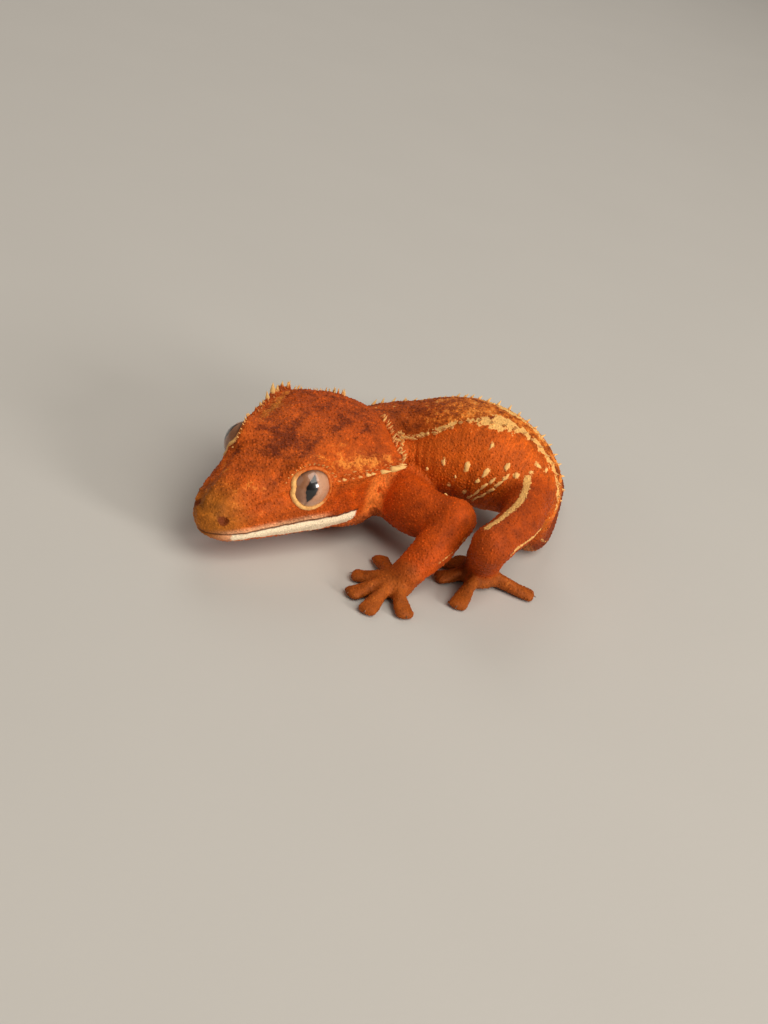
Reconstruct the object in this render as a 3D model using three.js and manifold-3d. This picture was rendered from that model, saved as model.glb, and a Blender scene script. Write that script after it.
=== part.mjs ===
// A crested gecko, life size, crouched as if it had just stopped walking: head low and turned to its left.
// Millimetres, +Z up, floor at z = 0. The gecko faces -X and its left side is -Y.
// Each part is a loft of rounded sections along a smooth line; neighbours meet with a thin gap.
import * as THREE from "three";
import { mergeVertices } from "three/addons/utils/BufferGeometryUtils.js";
import Module from "manifold-3d";

const wasm = await Module();
wasm.setup();

// Driving dimensions
const GAP = 0.3; // between neighbouring parts
const HEAD_AT = [0.8, -0.5, 11.7]; // midway between the eyes
const HEAD_YAW = 60.4; // degrees, to the left
const HEAD_PITCH = -3.5; // degrees, snout down
const HEAD_ROLL = -1; // degrees, left side up
const EYE_RADIUS = 3.4;
const EYE_RIM_RADIUS = 3.2;
const EYE_OUT = 5.9; // eye centre from the midline
const EYE_BACK = -0.8; // and from the middle of the head frame
const EYE_RISE = 0.3;
const EYE_FORWARD_TILT = 28; // degrees that an eye looks ahead of straight sideways
const EYE_UP_TILT = 6;
const FLOOR = 0;

const ORANGE = 0xc45a14;
const CREAM = 0xf3deb0;
const TAN = 0xc9843c;

function skin(color, roughness = 0.75) {
  return new THREE.MeshStandardMaterial({ color, roughness, metalness: 0 });
}
const skinOrange = skin(ORANGE);
const skinTan = skin(TAN);
const lipCream = skin(CREAM, 0.6);
const eyeGlass = new THREE.MeshStandardMaterial({ color: 0xa98672, roughness: 0.15, metalness: 0 });

// Turns a closed geometry into a solid that can be joined and cut.
function solid(geometry) {
  const bare = geometry.clone();
  bare.deleteAttribute("normal");
  bare.deleteAttribute("uv");
  const merged = mergeVertices(bare, 1e-4);
  const made = new wasm.Manifold(
    new wasm.Mesh({
      numProp: 3,
      vertProperties: new Float32Array(merged.attributes.position.array),
      triVerts: new Uint32Array(merged.index.array),
    }),
  );
  return made;
}

// Keeps the largest closed surface of a solid.
function largest(body) {
  const parts = body.decompose();
  return parts.reduce((a, b) => (b.volume() > a.volume() ? b : a));
}

function geometryOf(body) {
  const mesh = body.getMesh();
  const geometry = new THREE.BufferGeometry();
  geometry.setAttribute("position", new THREE.BufferAttribute(mesh.vertProperties, 3));
  geometry.setIndex(new THREE.BufferAttribute(mesh.triVerts, 1));
  geometry.computeVertexNormals();
  return geometry;
}

const join = (list) => list.reduce((a, b) => a.add(b));

// Smooth value through keys [t, a, b, ...] at t, one number or a list for each column.
function along(keys, t, column) {
  const last = keys.length - 1;
  if (t <= keys[0][0]) return keys[0][column];
  if (t >= keys[last][0]) return keys[last][column];
  let i = 0;
  while (t > keys[i + 1][0]) i++;
  const [k0, k1] = [keys[i], keys[i + 1]];
  const slope = (a, b) => (keys[b][column] - keys[a][column]) / (keys[b][0] - keys[a][0]);
  const m0 = i > 0 ? (slope(i - 1, i) + slope(i, i + 1)) / 2 : slope(i, i + 1);
  const m1 = i + 2 <= last ? (slope(i, i + 1) + slope(i + 1, i + 2)) / 2 : slope(i, i + 1);
  const h = k1[0] - k0[0];
  const s = (t - k0[0]) / h;
  const [s2, s3] = [s * s, s * s * s];
  return (
    (2 * s3 - 3 * s2 + 1) * k0[column] +
    (s3 - 2 * s2 + s) * h * m0 +
    (-2 * s3 + 3 * s2) * k1[column] +
    (s3 - s2) * h * m1
  );
}

// A closed skin over rings of points, each with the same number of points, closed by a fan at both ends.
function skinOver(rings) {
  const sides = rings[0].length;
  const points = rings.flat();
  const faces = [];
  for (let i = 0; i + 1 < rings.length; i++)
    for (let j = 0; j < sides; j++) {
      const k = (j + 1) % sides;
      const [a, b] = [i * sides + j, i * sides + k];
      faces.push(a, b, b + sides, a, b + sides, a + sides);
    }
  for (const [ring, flip] of [
    [0, true],
    [rings.length - 1, false],
  ]) {
    const centre = new THREE.Vector3();
    rings[ring].forEach((p) => centre.addScaledVector(p, 1 / sides));
    points.push(centre);
    for (let j = 0; j < sides; j++) {
      const [a, b] = [ring * sides + j, ring * sides + ((j + 1) % sides)];
      faces.push(...(flip ? [b, a, points.length - 1] : [a, b, points.length - 1]));
    }
  }
  const geometry = new THREE.BufferGeometry().setFromPoints(points);
  geometry.setIndex(faces);
  const made = solid(geometry);
  if (made.volume() > 0) return made;
  for (let i = 0; i < faces.length; i += 3) [faces[i], faces[i + 1]] = [faces[i + 1], faces[i]];
  geometry.setIndex(faces);
  return solid(geometry);
}

// A smooth line through the centres of keys
function smoothLine(keys) {
  const points = keys.map((k) => new THREE.Vector3(...k.at));
  return new THREE.CatmullRomCurve3(points, false, "centripetal");
}

// A tube through keys { at: [x, y, z], w, h }: half width and half height, with rounded ends.
// grow widens it all round, and up is the direction that h follows.
function tube(keys, { sides = 10, steps = 8, grow = 0, up = [0, 0, 1], ends = true } = {}) {
  const curve = smoothLine(keys);
  const table = keys.map((k, i) => [i, k.w, k.h]);
  const lift = new THREE.Vector3(...up);
  const rings = [];
  const ring = (t, scale, shift) => {
    const tangent = curve.getTangent(t);
    const side = new THREE.Vector3().crossVectors(tangent, lift).normalize();
    const top = new THREE.Vector3().crossVectors(side, tangent).normalize();
    const at = curve.getPoint(t).addScaledVector(tangent, shift);
    const k = t * (keys.length - 1);
    const [w, h] = [along(table, k, 1) + grow, along(table, k, 2) + grow];
    return Array.from({ length: sides }, (_, j) => {
      const a = (2 * Math.PI * (j + 0.5)) / sides;
      return at
        .clone()
        .addScaledVector(side, Math.cos(a) * w * scale)
        .addScaledVector(top, Math.sin(a) * h * scale);
    });
  };
  const endLength = (k) => (Math.min(k.w, k.h) + grow) * 0.8;
  if (ends) rings.push(ring(0, 0.35, -endLength(keys[0])), ring(0, 0.8, -endLength(keys[0]) * 0.62));
  for (let i = 0; i <= steps; i++) rings.push(ring(i / steps, 1, 0));
  const tail = keys[keys.length - 1];
  if (ends) rings.push(ring(1, 0.8, endLength(tail) * 0.62), ring(1, 0.35, endLength(tail)));
  return skinOver(rings);
}

// A small pointed spine from a root point along a direction, its root sunk below the surface.
function spine(root, direction, length, radius, sink = 0.6) {
  const way = direction.clone().normalize();
  const geometry = new THREE.ConeGeometry(radius, length + sink, 5, 1);
  geometry.translate(0, (length + sink) / 2 - sink, 0);
  geometry.applyQuaternion(new THREE.Quaternion().setFromUnitVectors(new THREE.Vector3(0, 1, 0), way));
  geometry.translate(root.x, root.y, root.z);
  return solid(geometry);
}

function ellipsoid(at, radii, turn = new THREE.Euler(), segments = [16, 10]) {
  const geometry = new THREE.SphereGeometry(1, ...segments);
  geometry.scale(...radii);
  geometry.applyMatrix4(new THREE.Matrix4().makeRotationFromEuler(turn));
  geometry.translate(...at);
  return solid(geometry);
}

// Keeps the side of a body that a plane's normal points to.
const keep = (body, normal, point) => {
  const n = new THREE.Vector3(...normal).normalize();
  return body.trimByPlane([n.x, n.y, n.z], n.dot(new THREE.Vector3(...point)));
};
// Two bodies from one, parted by a thin gap at a plane: [the side before it, the side after it].
const part = (body, normal, point) => {
  const n = new THREE.Vector3(...normal).normalize();
  const p = new THREE.Vector3(...point);
  const back = n.clone().negate();
  const before = p.clone().addScaledVector(back, GAP / 2);
  const after = p.clone().addScaledVector(n, GAP / 2);
  return [keep(body, back.toArray(), before.toArray()), keep(body, n.toArray(), after.toArray())];
};

// Head, in its own frame: x forward from between the eyes, y to the left, z up
// x, top, floor of the chin, half width of the cheek, half width of the brow or crest, its height
const HEAD = [
  [-20.0, 4.0, -7.3, 7.4, 7.8, 1.3],
  [-17.5, 4.8, -8.2, 8.9, 10.4, 1.7],
  [-15.5, 5.0, -8.8, 9.8, 12.6, 2.1],
  [-12.5, 4.9, -9.4, 10.4, 12.3, 2.0],
  [-8.5, 4.6, -9.8, 10.3, 11.0, 1.7],
  [-4.0, 4.2, -9.6, 9.4, 9.5, 1.6],
  [0.0, 3.7, -9.3, 8.0, 7.7, 1.7],
  [4.0, 2.5, -8.9, 6.6, 5.7, 0.7],
  [8.0, 0.9, -8.4, 5.1, 4.1, -1.0],
  [10.8, -0.5, -7.8, 3.9, 3.0, -2.2],
  [12.6, -1.8, -6.9, 2.7, 2.0, -3.3],
  [13.5, -3.0, -6.2, 1.4, 0.9, -4.0],
];
const SNOUT_TIP = [14.0, 0, -4.5];
const HEAD_RING = 26;
const HEAD_STATIONS = [
  -20, -18.6, -17.3, -16.3, -15.5, -14.2, -12.5, -10.5, -8.5, -6.2, -4, -2,
  0, 2, 4, 6, 8, 9.5, 10.8, 11.8, 12.6, 13.2, 13.5,
];

// One section of the head: a flat top between two crests, cheeks under them, a rounded chin.
function headRing(x, grow = 0) {
  const [top, chin, cheek, brow, browZ] = [1, 2, 3, 4, 5].map((c) => along(HEAD, x, c));
  const half = [
    [0, top],
    [brow * 0.5, top * 0.92 + browZ * 0.02],
    [brow * 0.86, browZ + 0.25],
    [brow, browZ],
    [Math.min(brow * 0.97, cheek * 1.02), browZ - 0.9],
    [cheek * 0.985, (browZ - 0.9) * 0.35 + chin * 0.2],
    [cheek, chin * 0.42],
    [cheek * 0.95, chin * 0.66],
    [cheek * 0.78, chin * 0.87],
    [cheek * 0.42, chin * 0.98],
    [0, chin],
  ];
  const otherHalf = half.slice(1, -1).reverse().map(([y, z]) => [-y, z]);
  const loop = [...half, ...otherHalf].map(([y, z]) => new THREE.Vector3(0, y, z));
  const outline = new THREE.CatmullRomCurve3(loop, true, "catmullrom", 0.4);
  return outline.getPoints(HEAD_RING).slice(0, -1).map((p) => {
    const middle = new THREE.Vector3(x, 0, (top + chin) / 2);
    const out = new THREE.Vector3(x, p.y, p.z);
    const way = out.clone().sub(middle).normalize();
    return out.addScaledVector(way, grow);
  });
}

const headPlace = new THREE.Matrix4()
  .makeTranslation(...HEAD_AT)
  .multiply(new THREE.Matrix4().makeRotationZ(THREE.MathUtils.degToRad(180 + HEAD_YAW)))
  .multiply(new THREE.Matrix4().makeRotationY(THREE.MathUtils.degToRad(-HEAD_PITCH)))
  .multiply(new THREE.Matrix4().makeRotationX(THREE.MathUtils.degToRad(HEAD_ROLL)));
const place = (body) => body.transform(headPlace.elements);

function headLoft(grow = 0) {
  const rings = HEAD_STATIONS.map((x) => headRing(x, grow));
  const tip = new THREE.Vector3(...SNOUT_TIP).addScaledVector(new THREE.Vector3(1, 0, 0), grow);
  rings.push(rings[rings.length - 1].map((p) => p.clone().lerp(tip, 0.6).setX(tip.x - 0.08)));
  return skinOver(rings);
}

// Height of the mouth line in the head's frame, from the front of the snout to the corner of the mouth
const MOUTH = [
  [-11.0, -4.6],
  [-9.0, -5.0],
  [-4.0, -5.2],
  [0.0, -5.3],
  [4.0, -5.6],
  [8.0, -6.1],
  [11.0, -6.4],
  [17.0, -6.5],
];
const MOUTH_CORNER = -10.2;

// The space below the mouth line, as a block across the whole head; raise lifts its top and moves its back.
function jawSpace(raise) {
  const shape = new THREE.Shape();
  const from = MOUTH_CORNER - raise;
  shape.moveTo(from, -12);
  shape.lineTo(18, -12);
  for (let x = 18; x > from; x -= 1.5) shape.lineTo(x, along(MOUTH, x, 1) + raise);
  shape.lineTo(from, along(MOUTH, from, 1) + raise);
  const geometry = new THREE.ExtrudeGeometry(shape, { depth: 40, bevelEnabled: false });
  geometry.rotateX(Math.PI / 2);
  geometry.translate(0, 20, 0);
  return solid(geometry);
}

const eyeWay = (side) => {
  const [ahead, lift] = [EYE_FORWARD_TILT, EYE_UP_TILT].map(THREE.MathUtils.degToRad);
  const out = side * Math.cos(ahead) * Math.cos(lift);
  return new THREE.Vector3(Math.sin(ahead), out, Math.sin(lift)).normalize();
};
const eyeAt = (side) => [EYE_BACK, side * EYE_OUT, EYE_RISE];

// A raised ring of skin round the eye
const LID_THICK = 0.62;
const LID_OUT = 1.25; // from the middle of the eyeball
function lid(side) {
  const ring = new THREE.TorusGeometry(EYE_RIM_RADIUS, LID_THICK, 6, 20);
  ring.applyQuaternion(new THREE.Quaternion().setFromUnitVectors(new THREE.Vector3(0, 0, 1), eyeWay(side)));
  const middle = new THREE.Vector3(...eyeAt(side)).addScaledVector(eyeWay(side), LID_OUT);
  ring.translate(middle.x, middle.y, middle.z);
  return solid(ring);
}

// Spines of the head crest: small over the eye, longest at the back corner of the head
const HEAD_SPINES = 12;
const HEAD_CREST = { from: 2.2, run: 17.2, shortest: 0.7, longer: 1.5, radius: 0.42, inset: 0.965 };
function headSpines(side, grow = 0) {
  const spines = [];
  for (let i = 0; i < HEAD_SPINES; i++) {
    const t = i / (HEAD_SPINES - 1);
    const x = HEAD_CREST.from - HEAD_CREST.run * t;
    const [brow, browZ] = [along(HEAD, x, 4), along(HEAD, x, 5)];
    const root = new THREE.Vector3(x, side * brow * HEAD_CREST.inset, browZ + 0.05);
    const way = new THREE.Vector3(-0.25 - 0.5 * t, side * 0.95, 0.62 - 0.25 * t);
    const length = HEAD_CREST.shortest + HEAD_CREST.longer * t ** 1.6 + 0.25 * Math.sin(i * 2.4);
    spines.push(spine(root, way, length + 1.5 * grow, HEAD_CREST.radius + 0.12 * t + grow));
  }
  return spines;
}

const NOSTRIL = { at: [11.4, 3.35, -3.7], radii: [0.7, 0.7, 0.5] };
const EAR = { at: [-13.8, 10.1, -3.4], radii: [0.55, 0.9, 1.15], turn: -0.5 };
function hole({ at: [x, y, z], radii, turn = 0 }, side) {
  return ellipsoid([x, side * y, z], radii, new THREE.Euler(0, turn, 0), [8, 6]);
}

const SIDES = { left: 1, right: -1 };
const eyes = Object.fromEntries(
  Object.entries(SIDES).map(([name, s]) => {
    const ball = new THREE.SphereGeometry(EYE_RADIUS, 20, 14);
    ball.translate(...eyeAt(s));
    return [name, solid(ball)];
  }),
);
const socket = (s) => ellipsoid(eyeAt(s), Array(3).fill(EYE_RADIUS + GAP), new THREE.Euler(), [20, 14]);

// The skin that bulges over the back of the eyeball, up to the ring of the lid
const ORBIT_SKIN = 0.55;
function orbit(side) {
  const radius = EYE_RADIUS + GAP + ORBIT_SKIN;
  const dome = ellipsoid(eyeAt(side), [radius, radius, radius], new THREE.Euler(), [20, 14]);
  const rim = new THREE.Vector3(...eyeAt(side)).addScaledVector(eyeWay(side), LID_OUT + 0.05);
  return keep(dome, eyeWay(side).negate().toArray(), rim.toArray());
}

const headParts = [headLoft(), orbit(1), orbit(-1), lid(1), lid(-1), ...headSpines(1), ...headSpines(-1)];
const headWhole = join(headParts);
let skull = headWhole.subtract(jawSpace(GAP));
for (const s of [1, -1]) skull = skull.subtract(socket(s)).subtract(hole(NOSTRIL, s)).subtract(hole(EAR, s));
const jaw = headLoft().intersect(jawSpace(0)).subtract(socket(1)).subtract(socket(-1));
const headPiece = place(largest(skull));
const jawPiece = place(largest(jaw));
const headSpace = place(join([headLoft(GAP), ...headSpines(1, GAP), ...headSpines(-1, GAP)]));

// Neck, trunk and tail: one line from inside the head to the tip of the tail
// at: centre; w, h: half width and half height
const BODY = [
  { at: [8.8, 12.8, 9.6], w: 6.4, h: 5.0 },
  { at: [12.4, 16.2, 10.4], w: 6.6, h: 5.6 },
  { at: [16.2, 18.2, 11.2], w: 7.2, h: 6.2 },
  { at: [20.4, 18.6, 12.1], w: 8.0, h: 6.9 },
  { at: [25.2, 18.4, 13.3], w: 8.6, h: 7.9 },
  { at: [30.4, 18.0, 13.9], w: 8.5, h: 8.0 },
  { at: [35.2, 17.8, 12.6], w: 7.4, h: 7.3 },
  { at: [38.4, 17.6, 10.2], w: 5.8, h: 5.9 },
  { at: [40.0, 17.2, 7.3], w: 3.8, h: 4.2 },
  { at: [40.6, 16.8, 4.8], w: 2.9, h: 3.1 },
  { at: [41.4, 18.4, 3.1], w: 2.8, h: 2.9 },
  { at: [42.4, 23.8, 2.5], w: 2.8, h: 2.7 },
  { at: [43.2, 31.0, 2.35], w: 2.6, h: 2.5 },
  { at: [43.4, 39.2, 2.15], w: 2.4, h: 2.3 },
  { at: [40.0, 46.2, 1.95], w: 2.2, h: 2.1 },
  { at: [33.0, 50.4, 1.65], w: 1.9, h: 1.8 },
  { at: [24.0, 51.4, 1.3], w: 1.5, h: 1.45 },
  { at: [15.6, 49.4, 1.0], w: 1.1, h: 1.15 },
  { at: [8.6, 45.4, 0.65], w: 0.8, h: 0.8 },
];
const BODY_STEPS = 60;
const BODY_SIDES = 18;
const bodyTube = (grow = 0) => tube(BODY, { sides: BODY_SIDES, steps: BODY_STEPS, grow });
const bodyCurve = smoothLine(BODY);
const bodyTable = BODY.map((k, i) => [i, k.w, k.h]);

// A point on the body's skin: t counts the keys above, angle is from straight up towards the left side.
function bodyPoint(t, angle) {
  const u = t / (BODY.length - 1);
  const tangent = bodyCurve.getTangent(u);
  const side = new THREE.Vector3().crossVectors(tangent, new THREE.Vector3(0, 0, 1)).normalize();
  const top = new THREE.Vector3().crossVectors(side, tangent).normalize();
  const a = THREE.MathUtils.degToRad(angle);
  const [w, h] = [along(bodyTable, t, 1), along(bodyTable, t, 2)];
  const way = side.clone().multiplyScalar(Math.sin(a)).addScaledVector(top, Math.cos(a));
  const at = bodyCurve
    .getPoint(u)
    .addScaledVector(side, Math.sin(a) * w)
    .addScaledVector(top, Math.cos(a) * h);
  return { at, way, tangent };
}

// Spines of the two crests along the back, from the shoulders to the rump
const BACK_SPINES = 22;
const BACK_CREST = { from: 1.7, to: 7.4, length: 1.15 };
// how far the crest is turned from the top of the back: key number, degrees
const CREST_ANGLE = [
  [1.5, 50],
  [3.0, 47],
  [4.0, 38],
  [5.0, 29],
  [6.0, 24],
  [7.5, 18],
];
// The short row that joins each crest of the back to the corner of the head, down the side of the neck
const NECK_ROW = { t: 2.3, from: 56, step: 8, count: 5, length: 0.85 };
const CREST_SPINE_RADIUS = 0.45;
const CREST_LEAN = 0.25;
function backSpines(side, grow = 0) {
  const spines = [];
  const put = (t, angle, length) => {
    const { at, way, tangent } = bodyPoint(t, angle * side);
    const lean = way.addScaledVector(tangent, CREST_LEAN);
    spines.push({ t, made: spine(at, lean, length + 1.5 * grow, CREST_SPINE_RADIUS + grow) });
  };
  for (let i = 0; i < BACK_SPINES; i++) {
    const t = BACK_CREST.from + ((BACK_CREST.to - BACK_CREST.from) * i) / (BACK_SPINES - 1);
    const length = BACK_CREST.length * (0.85 + 0.25 * Math.sin(i * 1.9)) * (1 - 0.35 * (i / BACK_SPINES));
    put(t, along(CREST_ANGLE, t, 1), length);
  }
  for (let i = 0; i < NECK_ROW.count; i++) {
    put(NECK_ROW.t, NECK_ROW.from + NECK_ROW.step * i, NECK_ROW.length * (1 - 0.1 * (i % 2)));
  }
  return spines;
}

// Cuts across the body: key number and node name of what comes before it
const BODY_CUTS = [
  [2.05, "neck"],
  [4.0, "chest"],
  [6.1, "belly"],
  [8.0, "rump"],
  [10.6, "tail_base"],
  [12.9, "tail_front"],
  [15.0, "tail_middle"],
];
const TAIL_END = [0.85, 0.75, 0.7]; // radii of the rounded tip
const spinesOfBack = [...backSpines(1), ...backSpines(-1)];

// The stretch of the body between two cuts.
// It comes from a tube of only the keys round it, so that each plane meets it once.
function bodyStretch(from, to, space) {
  const first = Math.max(0, Math.floor(from) - 1);
  const last = Math.min(BODY.length - 1, Math.ceil(to) + 1);
  const uOf = (t) => t / (BODY.length - 1);
  const rings = [];
  const steps = Math.round((last - first) * 4);
  for (let i = 0; i <= steps; i++) {
    const t = first + ((last - first) * i) / steps;
    const angles = Array.from({ length: BODY_SIDES }, (_, j) => -(360 * (j + 0.5)) / BODY_SIDES);
    rings.push(angles.map((angle) => bodyPoint(t, angle).at));
  }
  let made = skinOver(rings);
  if (last === BODY.length - 1) {
    made = made.add(ellipsoid(BODY[last].at, TAIL_END, new THREE.Euler(), [8, 6]));
  }
  const spines = spinesOfBack.filter((s) => s.t > from - 0.02 && s.t < to + 0.02);
  made = join([made, ...spines.map((s) => s.made)]);
  if (space) made = made.subtract(space);
  const cut = (t, sign) => {
    const n = bodyCurve.getTangent(uOf(t)).multiplyScalar(sign);
    const p = bodyCurve.getPoint(uOf(t)).addScaledVector(n, GAP / 2);
    made = keep(made, n.toArray(), p.toArray());
  };
  if (from > 0) cut(from, 1);
  if (to < BODY.length - 1) cut(to, -1);
  return largest(keep(made, [0, 0, 1], [0, 0, FLOOR]));
}

// Arms and legs, each from its root in the body to the wrist or ankle
const LIMBS = {
  left_arm: {
    upper: [
      { at: [18.4, 10.6, 7.6], w: 4.1, h: 4.4 },
      { at: [23.4, 6.1, 8.0], w: 3.8, h: 4.1 },
      { at: [28.6, 3.6, 9.8], w: 2.8, h: 2.8 },
    ],
    lower: [
      { at: [28.6, 3.6, 9.8], w: 2.8, h: 2.8 },
      { at: [26.6, -0.6, 6.6], w: 2.9, h: 2.8 },
      { at: [24.0, -4.2, 3.4], w: 2.3, h: 2.0 },
    ],
  },
  right_arm: {
    upper: [
      { at: [17.6, 24.0, 9.4], w: 3.6, h: 3.8 },
      { at: [20.0, 28.0, 9.3], w: 3.2, h: 3.3 },
      { at: [22.0, 32.0, 9.2], w: 2.8, h: 2.8 },
    ],
    lower: [
      { at: [22.0, 32.0, 9.2], w: 2.8, h: 2.8 },
      { at: [18.8, 32.8, 6.2], w: 2.9, h: 2.8 },
      { at: [15.4, 33.4, 3.2], w: 2.3, h: 2.0 },
    ],
  },
  left_leg: {
    upper: [
      { at: [38.2, 13.0, 11.8], w: 3.8, h: 4.2 },
      { at: [37.8, 5.0, 11.9], w: 3.1, h: 3.5 },
      { at: [34.4, -2.0, 10.4], w: 2.7, h: 2.9 },
    ],
    lower: [
      { at: [34.4, -2.0, 10.4], w: 2.7, h: 2.9 },
      { at: [34.4, 1.6, 6.5], w: 2.8, h: 2.8 },
      { at: [34.6, 4.8, 3.0], w: 2.4, h: 2.2 },
    ],
  },
  right_leg: {
    upper: [
      { at: [37.0, 22.4, 11.4], w: 3.8, h: 4.2 },
      { at: [34.4, 28.2, 10.8], w: 3.2, h: 3.5 },
      { at: [31.0, 33.2, 9.2], w: 2.8, h: 2.9 },
    ],
    lower: [
      { at: [31.0, 33.2, 9.2], w: 2.8, h: 2.9 },
      { at: [32.2, 35.4, 6.0], w: 2.9, h: 2.9 },
      { at: [33.0, 37.2, 3.0], w: 2.4, h: 2.2 },
    ],
  },
};

// Hands and feet: palm centre, then each toe's direction in the floor plane (degrees, 180 is straight ahead)
// and its length from the palm
const PADS = {
  left_hand: { palm: [22.3, -4.9], toes: [[112, 8.0], [177, 6.2], [221, 8.0], [252, 9.2], [296, 7.6]] },
  right_hand: { palm: [13.0, 33.4], toes: [[272, 6.6], [220, 7.8], [182, 8.8], [146, 8.8], [104, 8.0]] },
  left_foot: { palm: [34.4, 4.4], toes: [[128, 5.6], [161, 6.4], [208, 7.2], [257, 10.4], [357, 9.6]] },
  right_foot: { palm: [31.4, 37.8], toes: [[236, 5.8], [206, 6.8], [172, 8.2], [134, 8.8], [40, 7.8]] },
};
const PALM_HALF = 3.1;
const PALM_HIGH = 1.5;
const PALM_RISE = 1.35; // of its middle

// One toe: slim at the root, widening to a flat pad, with a small claw past its rounded tip
function toe(palm, degrees, length) {
  const a = THREE.MathUtils.degToRad(degrees);
  const way = [Math.cos(a), Math.sin(a)];
  const on = (share, z) => [palm[0] + way[0] * length * share, palm[1] + way[1] * length * share, z];
  const body = tube(
    [
      { at: on(0.12, 1.5), w: 1.25, h: 1.2 },
      { at: on(0.42, 1.35), w: 1.15, h: 1.15 },
      { at: on(0.68, 0.9), w: 1.45, h: 0.85 },
      { at: on(0.88, 0.7), w: 1.55, h: 0.7 },
    ],
    { sides: 8, steps: 5 },
  );
  const tip = new THREE.Vector3(...on(1.0, 0.95));
  const claw = spine(tip, new THREE.Vector3(way[0], way[1], -0.35), 0.9, 0.34, 1.2);
  return body.add(claw);
}

function padNode({ palm, toes }, wrist) {
  const middle = [palm[0], palm[1], PALM_RISE];
  const ball = ellipsoid(middle, [PALM_HALF, PALM_HALF, PALM_HIGH], new THREE.Euler(), [14, 8]);
  const heel = tube(
    [
      { at: wrist, w: 2.2, h: 1.9 },
      { at: [palm[0], palm[1], 1.6], w: 2.6, h: 1.5 },
    ],
    { sides: 10, steps: 2 },
  );
  return join([ball, heel, ...toes.map(([d, l]) => toe(palm, d, l))]);
}

const grownSpines = [...backSpines(1, GAP), ...backSpines(-1, GAP)].map((s) => s.made);
const bodySpace = join([bodyTube(GAP), headSpace, ...grownSpines]);
const pieces = {};
const add = (name, body, material) => {
  pieces[name] = [body, material];
};

add("head", headPiece, skinOrange);
add("lower_jaw", jawPiece, lipCream);
for (const name of Object.keys(SIDES)) add(`eye_${name}`, place(eyes[name]), eyeGlass);

let from = 0;
for (const [to, name] of [...BODY_CUTS, [BODY.length - 1, "tail_tip"]]) {
  add(name, bodyStretch(from, to, from < 3 ? headSpace : null), skinOrange);
  from = to;
}

const LOWER_NAMES = { arm: ["upper_arm", "forearm", "hand"], leg: ["thigh", "shin", "foot"] };
for (const [limb, { upper, lower }] of Object.entries(LIMBS)) {
  const [side, kind] = limb.split("_");
  const [upperName, lowerName, endName] = LOWER_NAMES[kind];
  const wrist = lower[lower.length - 1].at;
  const high = tube(upper, { sides: 12, steps: 6 });
  const low = tube(lower, { sides: 12, steps: 6 });
  const foot = padNode(PADS[`${side}_${endName}`], wrist);
  const joint = new THREE.Vector3(...lower[0].at);
  const inWay = joint.clone().sub(new THREE.Vector3(...upper[1].at)).normalize();
  const outWay = new THREE.Vector3(...lower[1].at).sub(joint).normalize();
  const kneeNormal = inWay.add(outWay).normalize();
  // The joint's own ball belongs to the upper part, so the lower one starts at the plane through it.
  const wristWay = new THREE.Vector3(...wrist).sub(new THREE.Vector3(...lower[1].at)).normalize();
  const [highPart] = part(high, kneeNormal.toArray(), joint.toArray());
  const lowSide = part(low, kneeNormal.toArray(), joint.toArray())[1];
  const [lowPart] = part(lowSide, wristWay.toArray(), wrist);
  const wholeFoot = keep(foot, [0, 0, 1], [0, 0, FLOOR]);
  const footPart = part(wholeFoot, wristWay.toArray(), wrist)[1];
  add(`${side}_${upperName}`, largest(highPart.subtract(bodySpace)), skinOrange);
  add(`${side}_${lowerName}`, largest(lowPart.subtract(bodySpace)), skinOrange);
  add(`${side}_${endName}`, largest(footPart), skinTan);
}

const gecko = new THREE.Group();
for (const [name, [body, material]] of Object.entries(pieces)) {
  const mesh = new THREE.Mesh(geometryOf(body), material);
  mesh.name = name;
  gecko.add(mesh);
}
// The middle of the footprint becomes the origin.
const footprint = new THREE.Box3().setFromObject(gecko, true).getCenter(new THREE.Vector3());
gecko.position.set(-footprint.x, -footprint.y, 0);

export default gecko;
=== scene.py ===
"""Crested gecko, crouched with its head turned: the dressed model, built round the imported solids.

Sizes are in millimetres in the gecko's own layout (x along the trunk towards the tail, -y its left side,
z up from the floor) and are turned into metres in the shared frame when a mesh is made.
"""

from __future__ import annotations

import logging
import math
from dataclasses import dataclass, field
from enum import Enum
from typing import Callable, Iterable, Sequence

import bpy
import numpy as np
import openvdb
from mathutils import Matrix, Vector, noise
from mathutils.bvhtree import BVHTree


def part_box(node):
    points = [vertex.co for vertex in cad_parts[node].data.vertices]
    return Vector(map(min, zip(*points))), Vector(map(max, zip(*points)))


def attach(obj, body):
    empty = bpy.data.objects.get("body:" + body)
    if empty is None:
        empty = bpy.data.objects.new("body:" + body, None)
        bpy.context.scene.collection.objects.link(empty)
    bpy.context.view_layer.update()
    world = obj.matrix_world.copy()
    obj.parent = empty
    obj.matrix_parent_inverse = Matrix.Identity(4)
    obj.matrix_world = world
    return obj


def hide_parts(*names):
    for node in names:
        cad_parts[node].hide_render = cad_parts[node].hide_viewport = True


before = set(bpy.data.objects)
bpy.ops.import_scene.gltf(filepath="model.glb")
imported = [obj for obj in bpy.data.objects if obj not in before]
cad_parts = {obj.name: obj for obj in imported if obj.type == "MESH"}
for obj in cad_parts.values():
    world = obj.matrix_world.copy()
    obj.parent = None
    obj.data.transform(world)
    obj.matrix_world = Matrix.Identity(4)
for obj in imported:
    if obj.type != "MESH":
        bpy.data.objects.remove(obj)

LOG = logging.getLogger("gecko")
Array = np.ndarray
Rgb = tuple[float, float, float]
Rows = Sequence[Sequence[float]]

MM = 0.001
SEED = 20


class Side(Enum):
    """A side of the gecko, with its sign across the head and body."""

    LEFT = 1
    RIGHT = -1


class Slot(Enum):
    """Material slots of the record."""

    SKIN = "skin"
    HANDS = "hands_and_feet"
    LIP = "lip"
    EYE = "eye"


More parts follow.
